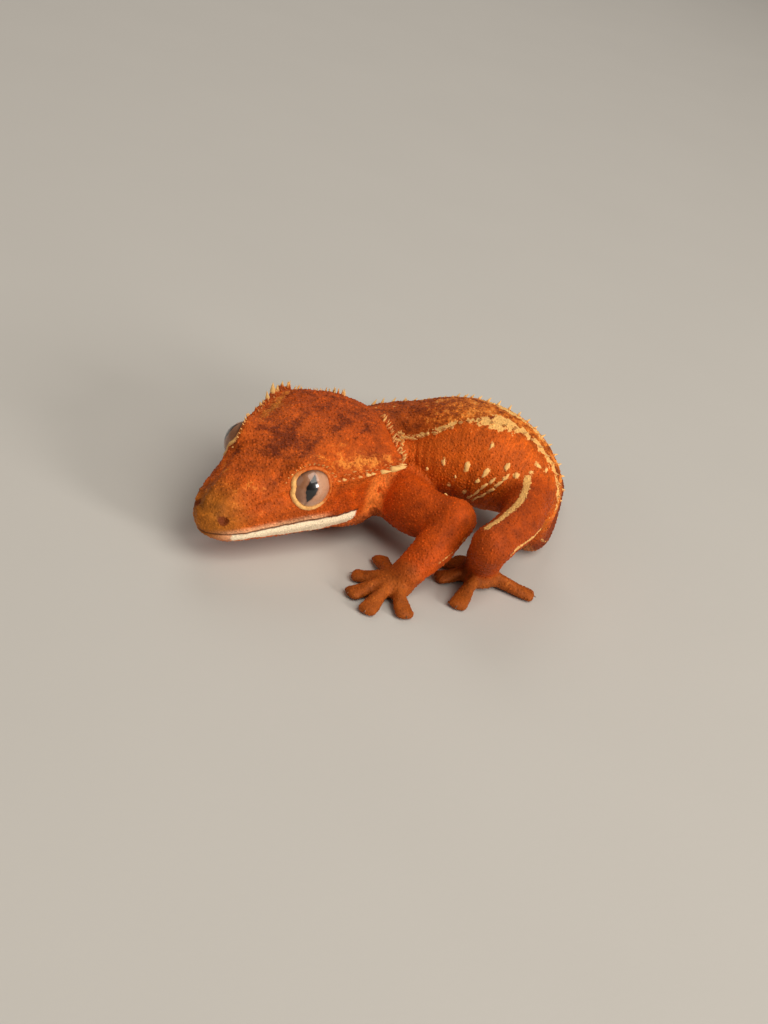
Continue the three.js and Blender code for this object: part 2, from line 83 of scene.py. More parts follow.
def rotation(axis: str, degrees: float) -> Array:
    """Makes a rotation about a main axis.

    Args:
        axis: X, Y or Z.
        degrees: Turn by the right-hand rule.

    Returns:
        A 3 by 3 matrix.
    """
    return np.array(Matrix.Rotation(math.radians(degrees), 3, axis))


def unit(vectors: Array) -> Array:
    """Scales vectors to length one."""
    return vectors / np.maximum(np.linalg.norm(vectors, axis=-1, keepdims=True), 1e-9)


def ease(values: Array, low: float, high: float) -> Array:
    """Rises smoothly from 0 at low to 1 at high; high may be the smaller one."""
    share = np.clip((values - low) / (high - low), 0.0, 1.0)
    return share * share * (3.0 - 2.0 * share)


def bell(values: Array, width: float) -> Array:
    """Falls from 1 at zero with the given half width."""
    return np.exp(-((values / width) ** 2))


def circle(count: int) -> Array:
    """Gives angles evenly round a circle."""
    return np.linspace(0, 2 * math.pi, count, endpoint=False)


def globe(lift: Array, turn: Array) -> Array:
    """Gives rings of points on a ball of radius 1, by heights and turns as angles."""
    flat = np.stack([np.cos(turn), np.sin(turn)], -1)
    rings = np.cos(lift)[:, None, None] * flat[None]
    return np.concatenate([rings, np.repeat(np.sin(lift)[:, None, None], len(turn), 1)], -1)


def cone_faces(rings: int, sides: int, count: int) -> list[list[int]]:
    """Gives the faces of many like cones or domes.

    Args:
        rings: Rings of points in each, before its tip.
        sides: Points in each ring.
        count: How many cones.

    Returns:
        Point numbers of each face.
    """
    k = np.arange(sides)
    after = (k + 1) % sides
    wall = np.stack([k, after, after + sides, k + sides], 1)
    walls = np.concatenate([wall + ring * sides for ring in range(rings - 1)])
    last = (rings - 1) * sides
    cap = np.stack([last + k, last + after, np.full(sides, rings * sides)], 1)
    start = (np.arange(count) * (rings * sides + 1))[:, None, None]
    return (start + walls).reshape(-1, 4).tolist() + (start + cap).reshape(-1, 3).tolist()


def along(keys: Rows, at: Array | float, column: int) -> Array:
    """Reads a column of keyed sizes between its keys, along a smooth curve.

    Args:
        keys: Rows that start with their place and go on with sizes.
        at: Places to read.
        column: Which size.

    Returns:
        The sizes at those places.
    """
    table = np.asarray(keys, dtype=float)
    place, size = table[:, 0], table[:, column]
    at = np.clip(np.asarray(at, dtype=float), place[0], place[-1])
    i = np.clip(np.searchsorted(place, at, side="right") - 1, 0, len(place) - 2)
    slope = np.diff(size) / np.diff(place)
    bend = np.concatenate([slope[:1], (slope[:-1] + slope[1:]) / 2, slope[-1:]])
    step = place[i + 1] - place[i]
    s = (at - place[i]) / step
    s2, s3 = s * s, s**3
    start = (2 * s3 - 3 * s2 + 1) * size[i] + (s3 - 2 * s2 + s) * step * bend[i]
    return start + (-2 * s3 + 3 * s2) * size[i + 1] + (s3 - s2) * step * bend[i + 1]


def cubic(p1: Array, p2: Array, t1: Array, t2: Array, s: Array) -> Array:
    """Gives points between two ends, as a smooth curve.

    Args:
        p1: Start points.
        p2: End points.
        t1: Directions at the start, times the step.
        t2: Directions at the end, times the step.
        s: Shares of the way, 0 to 1.

    Returns:
        The points.
    """
    return p1 + t1 * s + (-3 * p1 + 3 * p2 - 2 * t1 - t2) * s**2 + (2 * p1 - 2 * p2 + t1 + t2) * s**3


def upright(way: Array) -> tuple[Array, Array]:
    """Gives the directions ahead and up across the way that an eye looks in, in the head's frame.

    Args:
        way: The direction that the eye looks in.

    Returns:
        The directions ahead and up.
    """
    ahead = unit(np.array([1.0, 0.0, 0.0]) - way * way[0])
    up = np.array([0.0, 0.0, 1.0]) - way * way[2]
    return ahead, unit(up - ahead * (up @ ahead))


class Rail:
    """A smooth line through points, as a centripetal Catmull-Rom curve."""

    def __init__(self, points: Rows) -> None:
        """Keeps the points, with one more past each end.

        Args:
            points: The points that it runs through.
        """
        p = np.asarray(points, dtype=float)
        self.count = len(p)
        self.points = np.vstack([2 * p[0] - p[1], p, 2 * p[-1] - p[-2]])

    def at(self, keys: Array | float) -> Array:
        """Gives the points at key numbers, counted from 0 at the first point.

        Args:
            keys: Key numbers, counted from 0 at the first point.

        Returns:
            The points.
        """
        keys = np.clip(np.atleast_1d(np.asarray(keys, dtype=float)), 0, self.count - 1)
        i = np.minimum(keys.astype(int), self.count - 2)
        s = (keys - i)[:, None]
        p0, p1, p2, p3 = (self.points[i + k] for k in range(4))
        steps = ((p0, p1), (p1, p2), (p2, p3))
        gap = [np.maximum(np.linalg.norm(b - a, axis=1, keepdims=True), 1e-4) ** 0.5 for a, b in steps]
        t1 = ((p1 - p0) / gap[0] - (p2 - p0) / (gap[0] + gap[1]) + (p2 - p1) / gap[1]) * gap[1]
        t2 = ((p2 - p1) / gap[1] - (p3 - p1) / (gap[1] + gap[2]) + (p3 - p2) / gap[2]) * gap[1]
        return cubic(p1, p2, t1, t2, s)

    def tangent(self, keys: Array | float) -> Array:
        """Gives unit directions along the line.

        Args:
            keys: Key numbers along it.

        Returns:
            The directions.
        """
        keys = np.atleast_1d(np.asarray(keys, dtype=float))
        low = np.clip(keys - 1e-3, 0, self.count - 1)
        high = np.clip(keys + 1e-3, 0, self.count - 1)
        return unit(self.at(high) - self.at(low))


@dataclass
class Shell:
    """A closed mesh in the gecko's layout, in millimetres."""

    points: Array
    triangles: Array

    @staticmethod
    def over(rings: Array) -> "Shell":
        """Closes a stack of rings into a shell, with a fan at both ends.

        Args:
            rings: An array of rings by points by 3.

        Returns:
            The shell.
        """
        count, sides = rings.shape[:2]
        points = np.vstack([rings.reshape(-1, 3), rings[0].mean(0), rings[-1].mean(0)])
        i, j = np.meshgrid(np.arange(count - 1), np.arange(sides), indexing="ij")
        a, b = (i * sides + j).ravel(), (i * sides + (j + 1) % sides).ravel()
        faces = [np.stack([a, b, b + sides], 1), np.stack([a, b + sides, a + sides], 1)]
        ring = np.arange(sides)
        after = (ring + 1) % sides
        faces.append(np.stack([after, ring, np.full(sides, count * sides)], 1))
        last = (count - 1) * sides
        faces.append(np.stack([ring + last, after + last, np.full(sides, count * sides + 1)], 1))
        return Shell(points, np.vstack(faces))

    @staticmethod
    def ball(centre: Sequence[float], radii: Sequence[float], turn: Array | None = None) -> "Shell":
        """Makes an ellipsoid, turned by a matrix when one is given.

        Args:
            centre: Its middle.
            radii: Its three half widths.
            turn: Its turn, if any.

        Returns:
            The shell.
        """
        lift = np.linspace(-math.pi / 2, math.pi / 2, 25)[1:-1]
        shaped = globe(lift, circle(36)) * np.asarray(radii, dtype=float)
        if turn is not None:
            shaped = shaped @ turn.T
        return Shell.over(shaped + np.asarray(centre, dtype=float))


@dataclass
class Tube:
    """A rounded tube along a rail: rows of x, y, z, half width and half height."""

    rows: Rows
    sides: int = 32
    steps_per_key: int = 8

    def __post_init__(self) -> None:
        """Works out the rail and the table of sizes."""
        self.rail = Rail([row[:3] for row in self.rows])
        self.sizes = [(i, row[3], row[4]) for i, row in enumerate(self.rows)]

    def frames(self, keys: Array) -> tuple[Array, Array, Array, Array, Array, Array]:
        """Gives centre, direction, side, top, half width and half height at key numbers.

        Args:
            keys: Key numbers along it.

        Returns:
            Centre, direction, side, top, half width and half height.
        """
        centre, way = self.rail.at(keys), self.rail.tangent(keys)
        side = unit(np.cross(way, [0.0, 0.0, 1.0]))
        top = unit(np.cross(side, way))
        return centre, way, side, top, along(self.sizes, keys, 1), along(self.sizes, keys, 2)

    def surface(self, keys: Array, angles: Array) -> tuple[Array, Array, Array]:
        """Gives points on the tube, with outward and lengthways directions.

        Args:
            keys: Key numbers along the tube.
            angles: Degrees from the top, positive towards the left side of the way.

        Returns:
            Points, outward directions and directions along the tube.
        """
        centre, way, side, top, wide, high = self.frames(np.asarray(keys, dtype=float))
        a = np.radians(angles)[:, None]
        out = side * np.sin(a) + top * np.cos(a)
        at = centre + side * np.sin(a) * wide[:, None] + top * np.cos(a) * high[:, None]
        return at, unit(out), way

    def spot(self, key: float, angle: float) -> tuple[Array, Array, Array]:
        """Gives one point on the tube, with its outward and lengthways directions."""
        at, out, way = self.surface(np.array([key]), np.array([angle]))
        return at[0], out[0], way[0]

    def shell(self) -> Shell:
        """Makes the closed tube with rounded ends.

        Returns:
            The shell.
        """
        last = len(self.rows) - 1
        keys = np.linspace(0, last, last * self.steps_per_key + 1)
        centre, way, side, top, wide, high = self.frames(keys)
        turn = circle(self.sides)
        rings = [
            c + np.outer(np.cos(turn) * w, s) + np.outer(np.sin(turn) * h, t)
            for c, s, t, w, h in zip(centre, side, top, wide, high)
        ]
        caps = []
        for end, sign in ((0, -1.0), (-1, 1.0)):
            reach = min(wide[end], high[end])
            cap = []
            for a in np.radians([25, 50, 72]):
                middle = centre[end] + way[end] * sign * reach * math.sin(a)
                cap.append(middle + (rings[end] - centre[end]) * math.cos(a))
            caps.append(cap)
        return Shell.over(np.array(caps[0][::-1] + rings + caps[1]))


@dataclass
class HeadForm:
    """The head in its own frame: x forward from between the eyes, y to the left, z up."""

    at: tuple[float, float, float] = (0.8, -0.5, 11.7)
    yaw: float = 60.4
    pitch: float = -3.5
    roll: float = -1.0
    eye_radius: float = 3.4
    eye_at: tuple[float, float, float] = (-0.8, 5.9, 0.3)
    eye_ahead: float = 28.0
    eye_lift: float = 6.0
    tip: tuple[float, float, float] = (14.0, 0.0, -4.5)
    crest_start: float = -2.2
    crest_long: float = 13.4
    nostril: tuple[float, float, float] = (12.35, 2.75, -3.1)
    nostril_radii: tuple[float, float, float] = (0.6, 0.55, 0.42)
    ear: tuple[float, float, float] = (-13.4, 10.2, -3.0)
    ear_radii: tuple[float, float, float] = (0.35, 0.4, 0.75)
    throat: tuple[float, float, float] = (-11.8, 6.0, -6.9)
    throat_radii: tuple[float, float, float] = (5.4, 4.6, 3.2)
    # x, top, floor of the chin, half width of the cheek, half width of the brow or crest, its height
    sections: Rows = (
        (-20.0, 4.0, -7.3, 7.4, 7.8, 1.3),
        (-17.5, 4.8, -8.2, 8.9, 10.4, 1.7),
        (-15.5, 5.0, -8.8, 9.8, 12.6, 2.1),
        (-12.5, 4.9, -9.4, 10.4, 12.3, 2.0),
        (-8.5, 4.6, -9.8, 10.3, 11.0, 1.7),
        (-4.0, 4.2, -9.6, 9.4, 9.5, 1.6),
        (0.0, 3.7, -9.3, 8.0, 7.7, 1.7),
        (4.0, 2.5, -8.9, 6.6, 5.7, 0.7),
        (8.0, 0.9, -8.4, 5.1, 4.1, -1.0),
        (10.8, -0.5, -7.8, 3.9, 3.0, -2.2),
        (12.6, -1.8, -6.9, 2.7, 2.0, -3.3),
        (13.5, -3.0, -6.2, 1.4, 0.9, -4.0),
    )
    # x, height of the line between the lips
    mouth: Rows = (
        (-11.0, -4.9),
        (-9.0, -4.9),
        (-3.0, -4.8),
        (0.0, -4.85),
        (5.0, -5.1),
        (8.0, -5.35),
        (11.0, -5.65),
        (17.0, -5.9),
    )

    def __post_init__(self) -> None:
        """Works out the turn from the head's frame to the gecko's layout."""
        self.turn = rotation("Z", 180 + self.yaw) @ rotation("Y", -self.pitch) @ rotation("X", self.roll)

    def out(self, points: Array) -> Array:
        """Takes points from the head's frame to the gecko's layout."""
        return np.asarray(points, dtype=float) @ self.turn.T + np.array(self.at)

    def into(self, points: Array) -> Array:
        """Takes points from the gecko's layout to the head's frame."""
        return (np.asarray(points, dtype=float) - np.array(self.at)) @ self.turn

    def ring(self, x: float, count: int = 96) -> Array:
        """Makes one section of the head.

        Args:
            x: Place along the head.
            count: How many points.

        Returns:
            The points of the section, in the head's frame.
        """
        top, chin, cheek, brow, brow_z = (float(along(self.sections, x, c)) for c in range(1, 6))
        half = [
            (0.0, top),
            (brow * 0.5, top * 0.92 + brow_z * 0.02),
            (brow * 0.86, brow_z + 0.25),
            (brow, brow_z),
            (min(brow * 0.97, cheek * 1.02), brow_z - 0.9),
            (cheek * 0.985, (brow_z - 0.9) * 0.35 + chin * 0.2),
            (cheek, chin * 0.42),
            (cheek * 0.95, chin * 0.66),
            (cheek * 0.78, chin * 0.87),
            (cheek * 0.42, chin * 0.98),
            (0.0, chin),
        ]
        loop = np.array(half + [(-y, z) for y, z in reversed(half[1:-1])])
        size = len(loop)
        s = np.linspace(0, size, count, endpoint=False)
        i = s.astype(int)
        s = (s - i)[:, None]
        p0, p1, p2, p3 = (loop[(i + k) % size] for k in (-1, 0, 1, 2))
        t1, t2 = 0.4 * (p2 - p0), 0.4 * (p3 - p1)
        flat = cubic(p1, p2, t1, t2, s)
        return np.column_stack([np.full(count, x), flat])

    def shell(self) -> Shell:
        """Makes the closed head, snout to nape, in the gecko's layout.

        Returns:
            The shell.
        """
        stations = np.concatenate([np.arange(-20.0, 12.0, 0.6), np.arange(12.0, 13.51, 0.25)])
        rings = [self.ring(float(x)) for x in stations]
        tip = np.array(self.tip)
        for share, reach in ((0.35, 0.6), (0.7, 0.95)):
            ring = rings[-1] + (tip - rings[-1]) * share
            ring[:, 0] = self.sections[-1][0] + (tip[0] - self.sections[-1][0]) * reach
            rings.append(ring)
        return Shell.over(self.out(np.array(rings)))

    def beside(self, at: Sequence[float], side: Side) -> Array:
        """Gives a place of the left side on the given side, in the head's frame."""
        return np.array(at) * [1, side.value, 1]

    def eye_centre(self, side: Side) -> Array:
        """Gives the middle of an eyeball in the head's frame."""
        return self.beside(self.eye_at, side)

    def eye_way(self, side: Side) -> Array:
        """Gives the direction an eye looks in, in the head's frame.

        Args:
            side: The side of the gecko.

        Returns:
            The direction.
        """
        ahead, lift = math.radians(self.eye_ahead), math.radians(self.eye_lift)
        way = np.array([math.sin(ahead), side.value * math.cos(ahead) * math.cos(lift), math.sin(lift)])
        return unit(way)

    def crest(self, share: Array, side: Side) -> Array:
        """Gives points on the head's crest, in the head's frame.

        Args:
            share: How far back, from 0 over the eye to 1 at the back corner.
            side: The side of the head.

        Returns:
            The points.
        """
        x = self.crest_start - self.crest_long * np.asarray(share)
        return np.column_stack([x, side.value * along(self.sections, x, 4), along(self.sections, x, 5)])


@dataclass
class BodyForm:
    """Neck, trunk and tail as one tube, from inside the head to the tail's tip."""

    rows: Rows = (
        (8.8, 12.8, 9.6, 6.4, 5.0),
        (12.4, 16.2, 10.4, 6.6, 5.6),
        (16.2, 18.2, 11.2, 7.2, 6.2),
        (20.4, 18.6, 12.1, 8.0, 6.9),
        (25.2, 18.4, 13.3, 8.6, 7.9),
        (30.4, 18.0, 13.9, 8.5, 8.0),
        (35.2, 17.8, 12.6, 7.4, 7.3),
        (38.4, 17.6, 10.2, 5.8, 5.9),
        (40.0, 17.2, 7.3, 3.8, 4.2),
        (40.6, 16.8, 4.8, 2.9, 3.1),
        (41.4, 18.4, 3.1, 2.8, 2.9),
        (42.4, 23.8, 2.5, 2.8, 2.7),
        (43.2, 31.0, 2.35, 2.6, 2.5),
        (43.4, 39.2, 2.15, 2.4, 2.3),
        (40.0, 46.2, 1.95, 2.2, 2.1),
        (33.0, 50.4, 1.65, 1.9, 1.8),
        (24.0, 51.4, 1.3, 1.5, 1.45),
        (15.6, 49.4, 1.0, 1.1, 1.15),
        (8.6, 45.4, 0.65, 0.8, 0.8),
    )
    # key number, degrees of the crest from the top of the back
    crest_angle: Rows = (
        (1.5, 50.0),
        (3.0, 49.5),
        (3.6, 47.5),
        (4.0, 40.0),
        (4.5, 29.0),
        (5.0, 23.0),
        (5.5, 15.0),
        (6.2, 14.0),
        (7.8, 13.0),
    )
    neck_row: float = 2.38
    # key number, degrees from the top and half width of the pale band along the crest
    crest_band: Rows = (
        (2.2, 46.0, 0.10),
        (2.9, 49.0, 0.15),
        (3.6, 46.0, 0.25),
        (4.0, 38.0, 0.25),
        (4.25, 32.0, 0.05),
        (4.5, 28.0, 0.15),
        (4.8, 23.0, 0.90),
        (5.1, 17.0, 1.35),
        (5.4, 15.0, 0.80),
        (5.8, 13.5, 0.60),
        (6.4, 14.0, 0.45),
        (7.4, 13.0, 0.10),
        (8.2, 13.0, -0.60),
    )

    def __post_init__(self) -> None:
        """Makes the tube."""
        self.tube = Tube(self.rows, sides=48, steps_per_key=10)

    def crest(self, keys: Array, side: Side) -> tuple[Array, Array, Array]:
        """Gives points on a crest of the back, with outward and lengthways directions."""
        return self.tube.surface(keys, along(self.crest_angle, keys, 1) * side.value)


@dataclass
class LimbForm:
    """One limb: upper and lower part, and the hand or foot with its toes."""

    name: str
    upper: Rows
    lower: Rows
    palm: tuple[float, float]
    # degrees in the floor plane (180 is along the head end), length from the palm's centre
    toes: Sequence[tuple[float, float]]
    nodes: tuple[str, str, str]
    palm_half: float = 3.1
    palm_high: float = 1.5


def limb_forms() -> list[LimbForm]:
    """Gives the four limbs.

    Returns:
        The limbs.
    """
    return [
        LimbForm(
            "left_arm",
            ((18.4, 10.6, 7.6, 4.1, 4.4), (23.4, 6.1, 8.0, 3.8, 4.1), (28.6, 3.6, 9.8, 2.8, 2.8)),
            ((28.6, 3.6, 9.8, 2.8, 2.8), (26.6, -0.6, 6.6, 2.9, 2.8), (24.0, -4.2, 3.4, 2.3, 2.0)),
            (22.3, -4.9),
            ((112, 8.0), (177, 6.2), (221, 8.0), (252, 9.2), (296, 7.6)),
            ("left_upper_arm", "left_forearm", "left_hand"),
        ),
        LimbForm(
            "right_arm",
            ((17.6, 24.0, 9.4, 3.6, 3.8), (20.0, 28.0, 9.3, 3.2, 3.3), (22.0, 32.0, 9.2, 2.8, 2.8)),
            ((22.0, 32.0, 9.2, 2.8, 2.8), (18.8, 32.8, 6.2, 2.9, 2.8), (15.4, 33.4, 3.2, 2.3, 2.0)),
            (13.0, 33.4),
            ((272, 6.6), (220, 7.8), (182, 8.8), (146, 8.8), (104, 8.0)),
            ("right_upper_arm", "right_forearm", "right_hand"),
        ),
        LimbForm(
            "left_leg",
            ((38.2, 13.0, 11.8, 3.8, 4.2), (37.8, 5.0, 11.9, 3.1, 3.5), (34.4, -2.0, 10.4, 2.7, 2.9)),
            ((34.4, -2.0, 10.4, 2.7, 2.9), (34.4, 1.6, 6.5, 2.8, 2.8), (34.6, 4.8, 3.0, 2.4, 2.2)),
            (34.4, 4.4),
            ((128, 5.6), (161, 6.4), (208, 7.2), (257, 10.4), (357, 9.6)),
            ("left_thigh", "left_shin", "left_foot"),
        ),
        LimbForm(
            "right_leg",
            ((37.0, 22.4, 11.4, 3.8, 4.2), (34.4, 28.2, 10.8, 3.2, 3.5), (31.0, 33.2, 9.2, 2.8, 2.9)),
            ((31.0, 33.2, 9.2, 2.8, 2.9), (32.2, 35.4, 6.0, 2.9, 2.9), (33.0, 37.2, 3.0, 2.4, 2.2)),
            (31.4, 37.8),
            ((236, 5.8), (206, 6.8), (172, 8.2), (134, 8.8), (40, 7.8)),
            ("right_thigh", "right_shin", "right_foot"),
        ),
    ]


@dataclass
class View:
    """The camera of the photograph, in the gecko's layout."""

    at: tuple[float, float, float] = (18.1, -191.4, 120.0)
    right: tuple[float, float, float] = (0.957, 0.144, 0.25)
    down: tuple[float, float, float] = (0.288, -0.479, -0.83)
    focal_px: float = 1518.0
    size_px: tuple[int, int] = (768, 1024)
    sensor_mm: float = 36.0

    def __post_init__(self) -> None:
        """Squares up the axes."""
        self.x = unit(np.array(self.right))
        self.z = unit(np.cross(self.x, np.array(self.down)))
        self.y = np.cross(self.z, self.x)


class Place:
    """The step from the gecko's layout in millimetres to the shared frame in metres."""

    def __init__(self, head: HeadForm) -> None:
        """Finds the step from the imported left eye.

        Args:
            head: The head, whose left eye gives the step.
        """
        low, high = (np.array(corner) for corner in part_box("eye_left"))
        self.shift = (low + high) / 2 / MM - head.out(head.eye_centre(Side.LEFT))
        LOG.info("layout shift %s mm", np.round(self.shift, 3))

    def metres(self, points: Array) -> Array:
        """Takes points to the shared frame."""
        return (np.asarray(points) + self.shift) * MM


class Field:
    """Distances to the skin on a grid."""

    def __init__(self, low: Sequence[float], high: Sequence[float], voxel: float, band: float) -> None:
        """Sets up the grid.

        Args:
            low: Lowest corner in millimetres.
            high: Highest corner.
            voxel: Grid step.
            band: How far from each form distances are kept.
        """
        self.voxel, self.band = voxel, band
        self.origin = np.array(low, dtype=float)
        self.shape = tuple(int(n) for n in np.ceil((np.array(high) - self.origin) / voxel) + 1)
        self.values = np.full(self.shape, band, dtype=np.float32)

    def distances(self, shell: Shell) -> Array:
        """Gives the distances to one closed shell on the whole grid.

        Args:
            shell: The shell.

        Returns:
            The distances, positive outside.
        """
        transform = openvdb.createLinearTransform(voxelSize=1.0)
        points = ((shell.points - self.origin) / self.voxel).astype(np.float32)
        grid = openvdb.FloatGrid.createLevelSetFromPolygons(
            points,
            triangles=shell.triangles.astype(np.uint32),
            transform=transform,
            halfWidth=self.band / self.voxel,
        )
        out = np.empty(self.shape, dtype=np.float32)
        grid.copyToArray(out)
        return out * self.voxel

    def floor(self) -> None:
        """Ends everything at the floor."""
        heights = self.origin[2] + self.voxel * np.arange(self.shape[2])
        self.values = np.maximum(self.values, (0.0 - heights)[None, None, :].astype(np.float32))

    def mesh(self) -> tuple[Array, Array]:
        """Gives the skin's points and four-sided faces.

        Returns:
            The points and the faces.
        """
        grid = openvdb.FloatGrid()
        grid.background = self.band
        grid.copyFromArray(self.values)
        points, quads = grid.convertToQuads(0.0)
        return points.astype(float) * self.voxel + self.origin, quads.astype(np.int64)


def point_normals(points: Array, quads: Array) -> Array:
    """Gives outward directions at the points of a four-sided mesh.

    Args:
        points: The mesh's points.
        quads: Point numbers of the faces.

    Returns:
        The directions.
    """
    a, b, c, d = (points[quads[:, k]] for k in range(4))
    face = np.cross(c - a, d - b)
    total = np.zeros_like(points)
    for k in range(4):
        np.add.at(total, quads[:, k], face)
    return unit(total)


def relax(points: Array, quads: Array, rounds: int, amount: float = 0.5) -> Array:
    """Evens out the points of a mesh, towards the middle of their neighbours and nearly as far back again.

    Args:
        points: The mesh's points.
        quads: Point numbers of its faces.
        rounds: How many times.
        amount: How far of the way.

    Returns:
        The moved points.
    """
    start = np.concatenate([quads[:, k] for k in range(4)])
    end = np.concatenate([quads[:, (k + 1) % 4] for k in range(4)])
    first, second = np.concatenate([start, end]), np.concatenate([end, start])
    count = np.bincount(first, minlength=len(points))[:, None]
    for step in range(rounds * 2):
        share = amount if step % 2 == 0 else -amount * 1.02
        sums = [np.bincount(first, weights=points[second, k], minlength=len(points)) for k in range(3)]
        points = points + share * (np.column_stack(sums) / count - points)
    return points


def make_object(name: str, points: Array, faces: Iterable[Sequence[int]]) -> bpy.types.Object:
    """Makes a mesh object in the scene, shaded smooth.

    Args:
        name: Its name.
        points: Places in metres.
        faces: Point numbers of each face.

    Returns:
        The object.
    """
    mesh = bpy.data.meshes.new(name)
    mesh.from_pydata(np.asarray(points).tolist(), [], [list(map(int, f)) for f in faces])
    mesh.update()
    mesh.polygons.foreach_set("use_smooth", [True] * len(mesh.polygons))
    piece = bpy.data.objects.new(name, mesh)
    bpy.context.scene.collection.objects.link(piece)
    return piece


def store(piece: bpy.types.Object, name: str, values: Array) -> None:
    """Stores a number or vector for each point of a piece.

    Args:
        piece: The piece.
        name: Its name.
        values: A number or vector for each point.
    """
    values = np.asarray(values, dtype=np.float32)
    kind, key = ("FLOAT", "value") if values.ndim == 1 else ("FLOAT_VECTOR", "vector")
    layer = piece.data.attributes.new(name, kind, "POINT")
    layer.data.foreach_set(key, values.ravel())


class Wire:
    """One output of a shader node, ready for arithmetic."""

    def __init__(self, finish: "Nodes", socket: bpy.types.NodeSocket) -> None:
        """Keeps the output and the node tree that it belongs to."""
        self.finish = finish
        self.socket = socket

    def math(self, operation: str, *others: "Wire | float", first: "Wire | float | None" = None) -> "Wire":
        """Adds a Math node on this value.

        Args:
            operation: The node's operation.
            others: The values after the first.
            first: The first value, where it isn't this one.

        Returns:
            The node's output.
        """
        values = [self if first is None else first, *others]
        return self.finish.node("ShaderNodeMath", {"operation": operation}, dict(enumerate(values)))

    def __add__(self, other: "Wire | float") -> "Wire":
        """Adds."""
        return self.math("ADD", other)

    __radd__ = __add__

    def __sub__(self, other: "Wire | float") -> "Wire":
        """Takes away."""
        return self.math("SUBTRACT", other)

    def __rsub__(self, other: "Wire | float") -> "Wire":
        """Takes this away from the other."""
        return self.math("SUBTRACT", self, first=other)

    def __mul__(self, other: "Wire | float") -> "Wire":
        """Multiplies."""
        return self.math("MULTIPLY", other)

    __rmul__ = __mul__

    def __truediv__(self, other: "Wire | float") -> "Wire":
        """Divides."""
        return self.math("DIVIDE", other)

    def __pow__(self, other: "Wire | float") -> "Wire":
        """Raises to a power."""
        return self.math("POWER", other)

    def step(self, low: float, high: float) -> "Wire":
        """Rises smoothly from 0 at low to 1 at high."""
        inputs = {"Value": self, "From Min": low, "From Max": high, "To Min": 0.0, "To Max": 1.0}
        return self.finish.node("ShaderNodeMapRange", {"interpolation_type": "SMOOTHSTEP"}, inputs)


class Nodes:
    """The node tree of one finish."""

    def __init__(self, name: str) -> None:
        """Starts a material with its output node.

        Args:
            name: The material's name.
        """
        self.material = bpy.data.materials.new(name)
        self.material.use_nodes = True
        self.tree = self.material.node_tree
        self.tree.nodes.clear()
        self.output = self.tree.nodes.new("ShaderNodeOutputMaterial")

    def node(self, kind: str, settings: dict, inputs: dict, out: int | str = 0) -> Wire:
        """Adds a node.

        Args:
            kind: The node's type.
            settings: Its properties, which are set first.
            inputs: Values or wires by socket name or number.
            out: Which output to give back.

        Returns:
            The output.
        """
        made = self.tree.nodes.new(kind)
        for key, value in settings.items():
            setattr(made, key, value)
        for key, value in inputs.items():
            self.plug(made.inputs[key], value)
        return Wire(self, made.outputs[out])

    def plug(self, socket: bpy.types.NodeSocket, value: "Wire | float | Sequence[float]") -> None:
        """Sets a socket, or links it.

        Args:
            socket: The socket.
            value: A wire to link, or a value to set.
        """
        if isinstance(value, Wire):
            self.tree.links.new(value.socket, socket)
        elif socket.type == "RGBA" and len(value) == 3:
            socket.default_value = (*value, 1.0)
        else:
            socket.default_value = value

    def attribute(self, name: str, out: str = "Fac") -> Wire:
        """Reads a stored attribute, as a number or as a vector."""
        return self.node("ShaderNodeAttribute", {"attribute_name": name}, {}, out)

    def mix(self, share: "Wire | float", a: "Wire | Rgb", b: "Wire | Rgb") -> Wire:
        """Mixes two colours."""
        return self.node("ShaderNodeMix", {"data_type": "RGBA"}, {0: share, 6: a, 7: b}, 2)

    def tone(self, colour: Wire, share: Wire) -> Wire:
        """Makes a colour lighter or darker by a number."""
        return self.node("ShaderNodeVectorMath", {"operation": "SCALE"}, {0: colour, "Scale": share})

    def noise(self, at: Wire, scale: float, detail: float = 2.0, rough: float = 0.5) -> Wire:
        """Adds a noise pattern."""
        inputs = {"Vector": at, "Scale": scale, "Detail": detail, "Roughness": rough}
        return self.node("ShaderNodeTexNoise", {}, inputs)

    def grains(self, at: Wire, scale: float) -> Wire:
        """Adds a pattern of cells and gives the distance in them."""
        return self.node("ShaderNodeTexVoronoi", {"feature": "F1"}, {"Vector": at, "Scale": scale})

    def stretch(self, at: Wire, scale: Sequence[float]) -> Wire:
        """Scales a vector by axis."""
        return self.node("ShaderNodeVectorMath", {"operation": "MULTIPLY"}, {0: at, 1: tuple(scale)})

    def place(self) -> Wire:
        """Gives the place on the object, in metres."""
        return self.node("ShaderNodeTexCoord", {}, {}, "Object")

    def bump(self, height: Wire, strength: float, distance: float) -> Wire:
        """Adds a bump."""
        return self.node("ShaderNodeBump", {}, {"Height": height, "Strength": strength, "Distance": distance})

    def surface(self, **inputs: "Wire | float | Sequence[float]") -> bpy.types.Material:
        """Adds the shader and finishes the material.

        Args:
            inputs: The shader's sockets, with _ for a space.

        Returns:
            The material.
        """
        named = {key.replace("_", " "): value for key, value in inputs.items()}
        shader = self.node("ShaderNodeBsdfPrincipled", {}, named)
        self.tree.links.new(shader.socket, self.output.inputs["Surface"])
        return self.material


